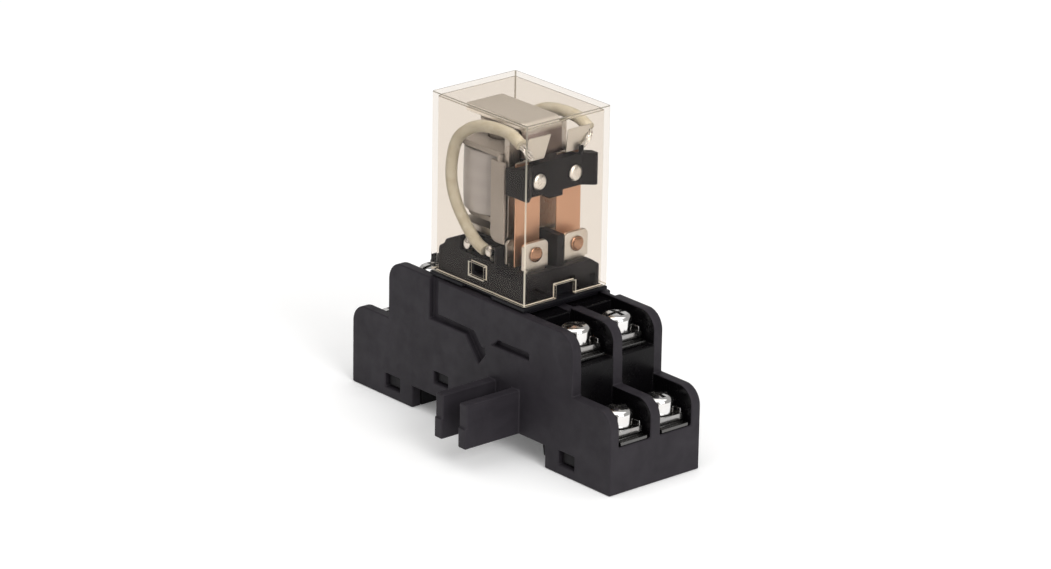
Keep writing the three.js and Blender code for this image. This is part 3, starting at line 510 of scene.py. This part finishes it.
def woven_sleeve(name, colour):
    """Varnished fabric sleeve: a fine braid that follows the lead's own length and girth."""
    finish = Finish(name, colour, 0.6)
    first, second, _ = finish.parts_of(finish.node("ShaderNodeTexCoord").outputs["UV"])
    lengthways = finish.combine("MULTIPLY", first, BRAID_ROWS)
    girthways = finish.combine("MULTIPLY", second, BRAID_STRANDS)
    left = finish.combine("SINE", finish.combine("ADD", lengthways, girthways))
    right = finish.combine("SINE", finish.combine("SUBTRACT", lengthways, girthways))
    braid = finish.combine("MAXIMUM", left, right)
    soil = finish.noise(600, detail=4)
    finish.tint(finish.span(soil, 0, 1, 0.35, 0.75), colour, shaded(colour, (0.82, 0.79, 0.72)))
    finish.raise_by(finish.span(braid, 0, 1, -1, 1), 0.03, 0.8)
    finish.raise_by(finish.noise(3500, detail=2), 0.01, 0.5)
    finish.set("Sheen Weight", 0.15)
    finish.set("Sheen Roughness", 0.4)
    return finish.material


# ---- Settings ----


def millimetres(name, description, default):
    """A length setting with its default in millimetres."""
    return bpy.props.FloatProperty(
        name=name, description=description, default=default * MM, min=0.0, precision=5,
        unit="LENGTH", subtype="DISTANCE",
    )


def watts(name, description, default):
    """A lamp power setting."""
    return bpy.props.FloatProperty(
        name=name, description=description, default=default, min=0.0, unit="POWER",
    )


def colour_of(name, description, default):
    """A colour setting."""
    return bpy.props.FloatVectorProperty(
        name=name, description=description, default=default, size=3, min=0.0, max=1.0, subtype="COLOR",
    )


class RelaySizes(bpy.types.PropertyGroup):
    """Small sizes that finish the pieces."""

    housing_edge: millimetres("Housing edge", "Radius of the socket's moulded edges", 0.28)
    cover_edge: millimetres("Cover edge", "Radius of the clear cover's edges", 0.18)
    sheet_edge: millimetres("Sheet edge", "Radius of pressed metal edges", 0.06)
    slot_width: millimetres("Slot width", "Width of the slot in a screw head", 0.9)
    slot_depth: millimetres("Slot depth", "Depth of the slot in a screw head", 0.9)
    ear_height: millimetres("Ear height", "Height of a clamp washer's turned-up ears", 0.7)


class RelayColours(bpy.types.PropertyGroup):
    """Base colours of the finishes."""

    socket: colour_of("Socket plastic", "Moulded body of the socket", (0.023, 0.020, 0.0245))
    base: colour_of("Relay plastic", "Black moulded base and card of the relay", (0.0075, 0.007, 0.009))
    cover: colour_of("Cover", "Tint of the clear cover", (0.868, 0.822, 0.770))
    cover_rim_light: colour_of("Cover edges", "Rims where light gathers in the clear cover", (0.74, 0.67, 0.55))
    # The bobbin's off-white is darkened to a grey here: painted shade.
    bobbin: colour_of("Bobbin", "Off-white moulded bobbin", (0.36, 0.33, 0.305))
    tape: colour_of("Winding tape", "Tape over the coil's winding", (0.43, 0.41, 0.41))
    sleeve: colour_of("Lead sleeve", "Woven sleeve of the flexible leads", (0.52, 0.49, 0.405))
    nickel: colour_of("Nickel", "Plated screws, washers and strips", (0.80, 0.79, 0.78))
    tin: colour_of("Tin", "Tinned blades and spring tabs", (0.72, 0.69, 0.64))
    iron: colour_of("Iron", "Plated magnet iron", (0.52, 0.49, 0.46))
    # The armature's very bright colour is partly painted light, for the reflection on its top.
    armature: colour_of("Armature", "Plated iron of the armature", (0.95, 0.91, 0.85))
    copper: colour_of("Copper", "Copper alloy of the moving springs", (0.66, 0.40, 0.275))
    silver: colour_of("Contact silver", "Silver alloy of the contacts", (0.86, 0.80, 0.75))


class StudioSettings(bpy.types.PropertyGroup):
    """Camera and light."""

    focal_length: bpy.props.FloatProperty(
        name="Focal length", description="Lens of the main camera", default=170.576, min=10.0,
        unit="CAMERA",
    )
    floor_shade: colour_of("Floor", "Shade of the plain floor", (0.93, 0.93, 0.93))
    overhead_power: watts("Overhead light", "Power of the large softbox above", 17.0)
    key_power: watts("Key light", "Power of the softbox at the contact end", 13.0)
    fill_power: watts("Fill light", "Power of the softbox at the long side", 1.8)
    back_power: watts("Back light", "Power of the low softbox behind", 0.5)
    ambient: bpy.props.FloatProperty(
        name="Ambient", description="Strength of the even surrounding light", default=0.4, min=0.0,
        subtype="FACTOR",
    )


# ---- Socket ----

SPRING_STEEL = (0.62, 0.61, 0.60)

# Sizes in millimetres: a screw's head, the half length and depth of the cross in it, and a washer's ears.
SCREW_HEAD_HEIGHT = 3.4
SCREW_CROSS = 1.8
SCREW_CROSS_DEPTH = 1.5
EAR_THICKNESS = 0.34
EAR_SETBACK = 0.5


class RELAY_OT_socket_body(bpy.types.Operator):
    """Builds the moulded socket body, its base plate and the rail latch with its spring"""

    bl_idname = "relay.socket_body"
    bl_label = "Socket Body"

    def execute(self, context):
        colours = context.scene.relay_colours
        edge = context.scene.relay_sizes.housing_edge / MM
        shell = moulded("Socket plastic", colours.socket, 0.5, grain=0.006, mottle=0.12)
        # The colour given here is painted shade for the inside of the terminal bays.
        shade_and_gloss_in_bays(shell, shaded(colours.socket, 0.12))
        # The base plate and rail latch get a darker copy of the socket plastic: painted shade, with a
        # slightly glossier finish that is real.
        under = moulded("Socket base plastic", shaded(colours.socket, 0.25), 0.4, grain=0.005).material
        outer = shell.material
        refined("housing_shell", "socket_housing", outer, "socket", edge, 3)
        refined("base_plate_moulding", "socket_base_plate", under, "socket", 0.15)
        refined("rail_latch_slider", "rail_latch", under, "rail_latch", 0.2)
        self.latch_spring()
        return {"FINISHED"}

    def latch_spring(self):
        """Wire coil behind the latch, which the latch presses flat as it slides out."""
        node = "rail_latch_spring"
        steel = plated("Spring wire", SPRING_STEEL, 0.25)
        coil = wound_spring("latch_spring_coil", node, steel, "socket", "X", wire=0.17, turns=7)
        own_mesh(coil)


class RELAY_OT_terminals(bpy.types.Operator):
    """Builds the terminal strips, clamp washers and screws of all the terminals"""

    bl_idname = "relay.terminals"
    bl_label = "Terminals"

    def execute(self, context):
        colours = context.scene.relay_colours
        sizes = context.scene.relay_sizes
        screw_metal = plated("Bright nickel", colours.nickel, 0.12, (1, 1, 6), grain=0.004, stain=0.06)
        # The washers and strips get darker copies of the screws' nickel: painted shade, down in the
        # terminal bays.
        shaded_washer_metal = plated("Washer nickel", shaded(colours.nickel, 0.45), 0.16)
        shaded_strip_metal = plated("Strip plating", shaded(colours.nickel, 0.16), 0.24, (0.2, 4, 4))
        edge = sizes.sheet_edge / MM
        for pole in POLES:
            for terminal in TERMINALS:
                end = f"{terminal}_{pole}"
                node = f"terminal_strip_{end}"
                refined(f"strip_{end}", node, shaded_strip_metal, "socket", edge)
                self.washer(end, shaded_washer_metal, sizes)
                self.screw(end, screw_metal, sizes)
        return {"FINISHED"}

    def washer(self, end, metal, sizes):
        """Square clamp washer with an ear turned up at each side."""
        node = f"clamp_washer_{end}"
        bm = copy_of(node)
        low, high = extent_of(node)
        middle = (low.y + high.y) / 2
        for side in (-1, 1):
            outer = middle + side * (high.y - low.y) / 2
            near, far = sorted((outer, outer - side * EAR_THICKNESS))
            foot = (low.x + EAR_SETBACK, near, low.z + 0.1)
            tip = (high.x - EAR_SETBACK, far, high.z + sizes.ear_height / MM)
            rounded_slab(bm, foot, tip, 0.12)
        round_edges(bm, 0.1, 2, 40.0)
        cut_from_node(f"washer_{end}", bm, metal, f"clamp_{end}", node)

    def screw(self, end, metal, sizes):
        """Round-edged cheese head on a plain shank, with a slot across it and a shorter cross."""
        node = f"terminal_screw_{end}"
        low, high = extent_of(node)
        top = high.z
        foot = low.z
        neck = top - SCREW_HEAD_HEIGHT
        r = (high.x - low.x) / 2
        head = [
            (0, foot), (1.25, foot), (1.6, foot + 0.45), (1.6, neck - 0.02), (r - 0.28, neck),
            (r - 0.08, neck + 0.08), (r, neck + 0.28), (r, top - 1.05), (r - 0.05, top - 0.8),
            (r - 0.22, top - 0.5), (r - 0.6, top - 0.26), (r - 1.2, top - 0.1), (0.9, top - 0.02),
            (0, top),
        ]
        piece = turned_piece(f"screw_{end}", node, head, "Z", metal, f"screw_{end}", 56)
        x = (low.x + high.x) / 2
        y = (low.y + high.y) / 2
        half = sizes.slot_width / MM / 2
        recesses = (
            (half, 4, sizes.slot_depth / MM),
            (SCREW_CROSS, half, SCREW_CROSS_DEPTH),
            (half, SCREW_CROSS, SCREW_CROSS_DEPTH),
        )
        cutters = []
        for length, width, depth in recesses:
            cutter = bmesh.new()
            slab(cutter, (x - length, y - width, top - depth), (x + length, y + width, top + 1))
            cutters.append(cutter)
        carve(piece, cutters)


# ---- Relay body ----

# Half the cover's width and the heights, in millimetres, between which its edges turn darker upwards,
# painted shade over the rims' painted light.
COVER_SIDE = 10.1
EDGE_SHADE_FROM = 44
EDGE_SHADE_TO = 62


class RELAY_OT_cover(bpy.types.Operator):
    """Builds the clear snap-on cover"""

    bl_idname = "relay.cover"
    bl_label = "Clear Cover"

    def execute(self, context):
        colours = context.scene.relay_colours
        edge = context.scene.relay_sizes.cover_edge / MM
        clear = clear_plastic("Clear cover plastic", colours.cover, 0.02, 0.004, 0.15).material
        # Painted light: the rims' champagne colour and milkiness stand in for the light that refraction
        # gathers in the cover's edges.
        edges = clear_plastic("Cover edge plastic", colours.cover_rim_light, 0.15, 0.6, 0.4)
        height = edges.parts_of(edges.place)[2]
        painted_shade_up = edges.span(height, 0, 1, EDGE_SHADE_FROM * MM, EDGE_SHADE_TO * MM)
        # Painted shade: the rims' painted light fades to a darker copy from the lower height to the upper
        # one.
        edges.tint(painted_shade_up, colours.cover_rim_light, shaded(colours.cover_rim_light, 0.42))
        bm = copy_of("relay_cover")
        for face in round_edges(bm, edge, 3):
            face.material_index = 1
        bm.normal_update()
        for face in bm.faces:
            slanted = min(abs(face.normal.x), abs(face.normal.y)) > 0.5
            if slanted and abs(face.calc_center_median().y) > COVER_SIDE * MM:
                face.material_index = 1
        cover = cut_from_node("cover_shell", bm, clear, "cover", "relay_cover")
        cover.data.materials.append(edges.material)
        return {"FINISHED"}


class RELAY_OT_base(bpy.types.Operator):
    """Builds the relay's black base with its blades and fixed contacts"""

    bl_idname = "relay.base"
    bl_label = "Base and Blades"

    def execute(self, context):
        colours = context.scene.relay_colours
        edge = context.scene.relay_sizes.sheet_edge / MM
        plastic = moulded("Relay plastic", colours.base, 0.34, grain=0.003).material
        refined("base_moulding", "relay_base", plastic, "relay", 0.18, 3)
        tin = plated("Tinned blade", colours.tin, 0.34, (4, 0.4, 4))
        copper = plated("Contact copper", shaded(colours.copper, 0.72), 0.22, grain=0.004)
        silver = plated("Contact silver", colours.silver, 0.22, grain=0.004)
        for pole in POLES:
            for terminal in TERMINALS:
                name = f"{terminal}_blade_sheet_{pole}"
                refined(name, f"{terminal}_blade_{pole}", tin, "relay", edge)
            self.normally_open(pole, copper)
            self.normally_closed(pole, silver)
        return {"FINISHED"}

    def normally_open(self, pole, metal):
        """Riveted contact on the front plate: a stepped head in front and a domed face behind."""
        node = f"no_contact_{pole}"
        low, high = extent_of(node)
        front = high.x
        back = low.x
        profile = [
            (0, back), (0.9, back + 0.02), (1.25, back + 0.08), (1.3, back + 0.2), (0.6, back + 0.2),
            (0.6, front - 0.5), (1.5, front - 0.5), (1.5, front - 0.34), (1.42, front - 0.28),
            (1.2, front - 0.26), (1.15, front - 0.1), (1.0, front - 0.02), (0.72, front),
            (0.62, front - 0.1), (0, front - 0.16),
        ]
        turned_piece(f"open_contact_{pole}", node, profile, "X", metal, "relay")

    def normally_closed(self, pole, metal):
        """Riveted contact on the rear plate, with its domed face towards the front."""
        node = f"nc_contact_{pole}"
        low, high = extent_of(node)
        front = high.x
        profile = [
            (0, low.x), (0.6, low.x), (0.6, front - 0.9), (1.3, front - 0.9), (1.3, front - 0.3),
            (1.15, front - 0.12), (0.8, front - 0.03), (0, front),
        ]
        turned_piece(f"closed_contact_{pole}", node, profile, "X", metal, "relay")


# ---- Magnet ----

# Heights in millimetres: the core's shoulder, and where the armature turns from painted light on its top to
# a brown painted shade down the leg.
CORE_SHOULDER = 41.1
PAINTED_SHADE_BELOW = 61.2
PAINTED_LIGHT_ABOVE = 62.2
WINDING_INNER = 3.9


class RELAY_OT_magnet(bpy.types.Operator):
    """Builds the coil, its bobbin, core and yoke, and the armature with its return spring"""

    bl_idname = "relay.magnet"
    bl_label = "Magnet"

    def execute(self, context):
        colours = context.scene.relay_colours
        # The bobbin colour carries painted shade over its own off-white.
        white = moulded("Bobbin plastic", colours.bobbin, 0.42, grain=0.004, mottle=0.05).material
        iron = plated("Magnet iron", colours.iron, 0.32, (3, 3, 0.4))
        brown = self.armature_iron(colours)
        refined("bobbin_moulding", "coil_bobbin", white, "relay", 0.14)
        refined("yoke_strip", "yoke", iron, "relay", 0.12)
        refined("armature_strip", "armature", brown, "armature", 0.14, 3)
        self.winding(colours)
        self.core(iron)
        self.return_spring()
        return {"FINISHED"}

    def armature_iron(self, colours):
        """Plated iron with painted light on the top that turns to a darker brown painted shade down the
        leg.
        """
        finish = Finish("Armature iron", colours.armature, 0.26, metallic=1.0)
        height = finish.parts_of(finish.place)[2]
        # Painted light and shade: the top gets the bright colour of a pale reflection, the leg a darker
        # brown.
        shaded_leg = finish.span(height, 1, 0, PAINTED_SHADE_BELOW * MM, PAINTED_LIGHT_ABOVE * MM)
        patches = finish.span(finish.noise(500, detail=4), -0.04, 0.05, 0.3, 0.7)
        brown = shaded(colours.armature, (0.36, 0.31, 0.32))
        finish.tint(finish.combine("ADD", shaded_leg, patches), colours.armature, brown)
        lines = finish.noise(2200, detail=3, place=finish.stretched((3, 0.3, 3)))
        finish.rough(finish.span(lines, 0.3, 0.4, 0.3, 0.7))
        finish.raise_by(lines, 0.0008, 0.5)
        return finish.material

    def winding(self, colours):
        """The taped winding, barrelled a little between its chamfered ends."""
        node = "coil_winding"
        low, high = extent_of(node)
        r = (high.x - low.x) / 2
        profile = [(WINDING_INNER, low.z), (r - 0.35, low.z), (r - 0.12, low.z + 0.2)]
        rows = 12
        for i in range(rows + 1):
            t = i / rows
            bulge = 0.1 * (1 - (2 * t - 1) ** 2)
            profile.append((r - 0.1 + bulge, low.z + 0.5 + t * (high.z - low.z - 1.0)))
        profile += [(r - 0.12, high.z - 0.2), (r - 0.35, high.z)]
        profile += [(WINDING_INNER, high.z), (WINDING_INNER, low.z)]
        tape = winding_tape("Winding tape", colours.tape)
        turned_piece("winding_wrap", node, profile, "Z", tape, "relay", 72)

    def core(self, metal):
        """Iron rod with a shoulder at its foot and a wide pole face at its top."""
        low, high = extent_of("coil_core")
        top = high.z
        r = (high.x - low.x) / 2
        profile = [
            (0, low.z), (1.7, low.z), (2.0, low.z + 0.3), (2.0, CORE_SHOULDER), (2.5, CORE_SHOULDER),
            (2.5, top - 1.2), (r - 0.2, top - 1.2), (r, top - 1.0), (r, top - 0.2), (r - 0.2, top),
            (0, top),
        ]
        turned_piece("core_rod", "coil_core", profile, "Z", metal, "relay", 56)

    def return_spring(self):
        """Wire coil that pushes the armature back."""
        node = "return_spring"
        steel = plated("Return spring wire", SPRING_STEEL, 0.25)
        coil = wound_spring("return_spring_coil", node, steel, "relay", "Z", wire=0.2, turns=5)
        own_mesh(coil)


# ---- Contact set ----

# Heights in millimetres between which the springs' tin ends and their copper begins.
COPPER_BELOW = 56.6
TIN_ABOVE = 57.0
RIVET_STEEL = (0.84, 0.83, 0.80)

# Two corners, in millimetres, of the small peg that stands on the card beside a spring.
CARD_PEG = ((8.8, 5.35, 56.5), (9.5, 6.2, 58.5))


class RELAY_OT_contacts(bpy.types.Operator):
    """Builds the contact card with its rivets, moving springs and moving contacts"""

    bl_idname = "relay.contacts"
    bl_label = "Moving Contacts"

    def execute(self, context):
        colours = context.scene.relay_colours
        plastic = moulded("Card plastic", colours.base, 0.36, grain=0.003).material
        rivet = plated("Rivet", RIVET_STEEL, 0.3, grain=0.008)
        silver = plated("Moving contact silver", colours.silver, 0.22, grain=0.004)
        sheet = self.spring_sheet(colours)
        refined("card_moulding", "contact_card", plastic, "armature", 0.14, 3)
        peg = bmesh.new()
        rounded_slab(peg, *CARD_PEG, 0.15)
        new_piece("card_peg", peg, plastic, "armature", smooth=50.0)
        for pole in POLES:
            refined(f"spring_sheet_{pole}", f"moving_spring_{pole}", sheet, "armature", 0.05)
            self.rivet(pole, rivet)
            self.contact(pole, silver)
        return {"FINISHED"}

    def spring_sheet(self, colours):
        """Copper below the card, tinned on the tab above it."""
        finish = Finish("Spring sheet", colours.copper, 0.42, metallic=1.0)
        height = finish.parts_of(finish.place)[2]
        tinned = finish.span(height, 0, 1, COPPER_BELOW * MM, TIN_ABOVE * MM)
        finish.tint(tinned, colours.copper, colours.tin)
        lines = finish.noise(2600, detail=3, place=finish.stretched((4, 4, 0.3)))
        finish.rough(finish.span(lines, 0.34, 0.5, 0.3, 0.7))
        finish.raise_by(lines, 0.005)
        return finish.material

    def rivet(self, pole, metal):
        """Flat-topped rivet with a rounded rim."""
        node = f"card_rivet_{pole}"
        low, high = extent_of(node)
        r = (high.y - low.y) / 2
        front = high.x
        profile = [
            (0, low.x), (0.8, low.x), (0.8, front - 0.7), (r - 0.1, front - 0.7), (r, front - 0.6),
            (r, front - 0.42), (r - 0.12, front - 0.24), (r - 0.4, front - 0.1),
            (r - 0.9, front - 0.02), (0, front),
        ]
        turned_piece(f"rivet_{pole}", node, profile, "X", metal, "armature")

    def contact(self, pole, metal):
        """Contact riveted through the spring, with a face at the back and another at the front."""
        node = f"moving_contact_{pole}"
        low, high = extent_of(node)
        front = high.x
        back = low.x
        profile = [
            (0, back), (0.8, back + 0.03), (1.15, back + 0.12), (1.3, back + 0.3), (1.3, back + 0.9),
            (0.6, back + 0.9), (0.6, front - 0.45), (1.3, front - 0.45), (1.3, front - 0.18),
            (1.15, front - 0.05), (0.7, front), (0, front),
        ]
        turned_piece(f"moving_head_{pole}", node, profile, "X", metal, "armature")


# ---- Leads ----

# The lead's middle line as (x, z) points and its distance from the relay's middle, in millimetres.
LEAD_ROUTE = (
    (8.3, 61.2), (5.4, 62.4), (1.4, 62.6), (-3.6, 61.9), (-7.2, 60.3), (-10.4, 57.5), (-11.9, 53.2),
    (-12.0, 48.7), (-10.5, 44.7), (-7.4, 40.8), (-4.2, 38.2), (-1.8, 37.3),
)
LEAD_RADIUS = 1.18
LEAD_Y = 8.45
STRAND_RADIUS = 0.17
STRANDS_ROUND = 6
SOLDER = (0.80, 0.79, 0.77)

# Solder at the feet of a pole's common and coil blades: its place and how it is stretched.
SOLDER_SPOTS = (
    ((-0.3, 8.6, 37.5), (1.05, 0.85, 1.25)),
    ((-6.6, 8.75, 37.4), (1.0, 0.8, 1.3)),
)


class RELAY_OT_leads(bpy.types.Operator):
    """Builds the sleeved flexible leads with the bare strands soldered at their ends"""

    bl_idname = "relay.leads"
    bl_label = "Flexible Leads"

    def execute(self, context):
        colours = context.scene.relay_colours
        sleeve = woven_sleeve("Lead sleeve", colours.sleeve)
        solder = plated("Solder", SOLDER, 0.16, grain=0.01, stain=0.08)
        for pole, side in POLES.items():
            route = smooth_line([Vector((x, side * LEAD_Y, z)) for x, z in LEAD_ROUTE], 90)
            bm = swept(f"lead_{pole}", route, LEAD_RADIUS, 5)
            new_piece(f"lead_sleeve_{pole}", bm, sleeve, "relay", (f"flexible_lead_{pole}",))
            self.joints(pole, side, solder)
            self.strands(pole, side, solder)
        return {"FINISHED"}

    def strands(self, pole, side, metal):
        """Bare strands that leave the sleeve and turn down to the tab's lower corner."""
        start = Vector((LEAD_ROUTE[0][0], side * LEAD_Y, LEAD_ROUTE[0][1]))
        foot = Vector((8.95, side * 6.5, 58.3))
        bm = bmesh.new()
        for i in range(STRANDS_ROUND + 1):
            angle = math.tau * i / STRANDS_ROUND
            ring = 0.0 if i == STRANDS_ROUND else 0.5
            rise = ring * math.cos(angle)
            off = Vector((0.3 * rise, ring * math.sin(angle), rise))
            bend = start + Vector((0.75, -side * 0.35, -0.9)) + off * 0.9
            knee = (bend + foot) / 2 + Vector((0.2, side * 0.2, 0)) + off * 0.7
            line = smooth_line([start + off - Vector((0.6, 0, 0)), bend, knee, foot + off * 0.8], 18)
            strand = swept(f"strand_{i}", line, STRAND_RADIUS, 2)
            mesh = bpy.data.meshes.new("strand")
            strand.to_mesh(mesh)
            strand.free()
            bm.from_mesh(mesh)
            bpy.data.meshes.remove(mesh)
        ball(bm, foot - Vector((0.05, 0, 0.1)), 0.55, (0.5, 1.3, 0.9))
        piece = new_piece(f"strands_{pole}", bm, metal, None, smooth=60.0)
        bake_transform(piece)

    def joints(self, pole, side, metal):
        """Beads of solder on the common and the coil blade."""
        bm = bmesh.new()
        for (x, y, z), stretch in SOLDER_SPOTS:
            ball(bm, (x, side * y, z), 1.0, stretch)
        new_piece(f"solder_{pole}", bm, metal, "relay", smooth=60.0)


# ---- Stage ----

# Each softbox's name, place and width in metres, and the setting that holds its power.
SOFTBOXES = (
    ("Overhead", (0.1, -0.1, 1.6), 2.0, "overhead_power"),
    ("Key", (1.35, -0.25, 0.75), 0.8, "key_power"),
    ("Fill", (0.1, -1.5, 0.8), 0.9, "fill_power"),
    ("Back", (-1.3, 1.15, 0.75), 0.9, "back_power"),
)
LAMPS_AIM = (0, 0, 0.035)

# The camera's place in metres and its angles in degrees.
CAMERA_PLACE = (0.68045, -0.59139, 0.35988)
CAMERA_AZIMUTH = 48.991
CAMERA_ELEVATION = 20.160
CAMERA_ROLL = -0.961


class RELAY_OT_stage(bpy.types.Operator):
    """Sets the plain floor, the soft lights and the camera"""

    bl_idname = "relay.stage"
    bl_label = "Stage"

    def execute(self, context):
        studio = context.scene.relay_studio
        self.floor(studio)
        self.world(context, studio)
        for name, place, size, power in SOFTBOXES:
            self.softbox(name, place, size, getattr(studio, power))
        self.camera(context, studio)
        return {"FINISHED"}

    def floor(self, studio):
        """Plain pale sheet just below the feet."""
        bm = bmesh.new()
        just_below = Matrix.Translation((0, 0, -0.00005))
        bmesh.ops.create_grid(bm, x_segments=1, y_segments=1, size=4.0, matrix=just_below)
        mesh = bpy.data.meshes.new("floor")
        bm.to_mesh(mesh)
        bm.free()
        paper = Finish("Floor paper", studio.floor_shade, 0.8)
        paper.set("Emission Color", (1, 1, 1, 1))
        paper.set("Emission Strength", 0.12)
        mesh.materials.append(paper.material)
        floor = bpy.data.objects.new("floor", mesh)
        bpy.context.scene.collection.objects.link(floor)

    def world(self, context, studio):
        """Even, slightly warm light from all round, and plain screen colours."""
        world = bpy.data.worlds.new("Studio")
        world.use_nodes = True
        background = world.node_tree.nodes["Background"]
        background.inputs[0].default_value = (1.0, 0.99, 0.975, 1)
        background.inputs[1].default_value = studio.ambient
        context.scene.world = world
        context.scene.view_settings.view_transform = "Standard"

    def softbox(self, name, place, size, power):
        """Square soft lamp turned towards the relay."""
        light = bpy.data.lights.new(name, "AREA")
        light.shape = "SQUARE"
        light.size = size
        light.energy = power
        lamp = bpy.data.objects.new(name, light)
        lamp.location = place
        aim = Vector(LAMPS_AIM) - Vector(place)
        lamp.rotation_euler = aim.to_track_quat("-Z", "Y").to_euler()
        bpy.context.scene.collection.objects.link(lamp)

    def camera(self, context, studio):
        """Long lens at the front corner, a little above the relay."""
        azimuth = math.radians(CAMERA_AZIMUTH)
        elevation = math.radians(CAMERA_ELEVATION)
        roll = math.radians(CAMERA_ROLL)
        level = math.cos(elevation)
        right = Vector((math.cos(azimuth), math.sin(azimuth), 0))
        back = Vector((math.sin(azimuth) * level, -math.cos(azimuth) * level, math.sin(elevation)))
        up = back.cross(right)
        rolled_right = math.cos(roll) * right - math.sin(roll) * up
        rolled_up = math.sin(roll) * right + math.cos(roll) * up
        data = bpy.data.cameras.new("Main camera")
        data.sensor_width = 36
        data.lens = studio.focal_length
        data.clip_start = 0.01
        camera = bpy.data.objects.new("Main camera", data)
        turn = Matrix((rolled_right, rolled_up, back)).transposed()
        camera.matrix_world = Matrix.Translation(CAMERA_PLACE) @ turn.to_4x4()
        context.scene.collection.objects.link(camera)
        context.scene.camera = camera


# ---- Panel and registration ----


OPERATORS = (
    RELAY_OT_socket_body, RELAY_OT_terminals, RELAY_OT_cover, RELAY_OT_base, RELAY_OT_magnet,
    RELAY_OT_contacts, RELAY_OT_leads, RELAY_OT_stage,
)


class RELAY_PT_panel(bpy.types.Panel):
    """Lists the relay's pieces and settings"""

    bl_idname = "RELAY_PT_panel"
    bl_label = "Plug-in Relay"
    bl_space_type = "VIEW_3D"
    bl_region_type = "UI"
    bl_category = "Relay"

    def draw(self, context):
        layout = self.layout
        for operator in OPERATORS:
            layout.operator(operator.bl_idname)
        for group in ("relay_sizes", "relay_colours", "relay_studio"):
            box = layout.box()
            settings = getattr(context.scene, group)
            for key in settings.__annotations__:
                box.prop(settings, key)


GROUPS = (
    ("relay_sizes", RelaySizes), ("relay_colours", RelayColours), ("relay_studio", StudioSettings),
)


def register():
    for name, group in GROUPS:
        bpy.utils.register_class(group)
        setattr(bpy.types.Scene, name, bpy.props.PointerProperty(type=group))
    for operator in OPERATORS:
        bpy.utils.register_class(operator)
    bpy.utils.register_class(RELAY_PT_panel)


def unregister():
    bpy.utils.unregister_class(RELAY_PT_panel)
    for operator in reversed(OPERATORS):
        bpy.utils.unregister_class(operator)
    for name, group in reversed(GROUPS):
        delattr(bpy.types.Scene, name)
        bpy.utils.unregister_class(group)


def main():
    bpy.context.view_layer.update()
    register()
    bpy.ops.relay.socket_body()
    bpy.ops.relay.terminals()
    bpy.ops.relay.cover()
    bpy.ops.relay.base()
    bpy.ops.relay.magnet()
    bpy.ops.relay.contacts()
    bpy.ops.relay.leads()
    bpy.ops.relay.stage()


if __name__ == "__main__":
    main()
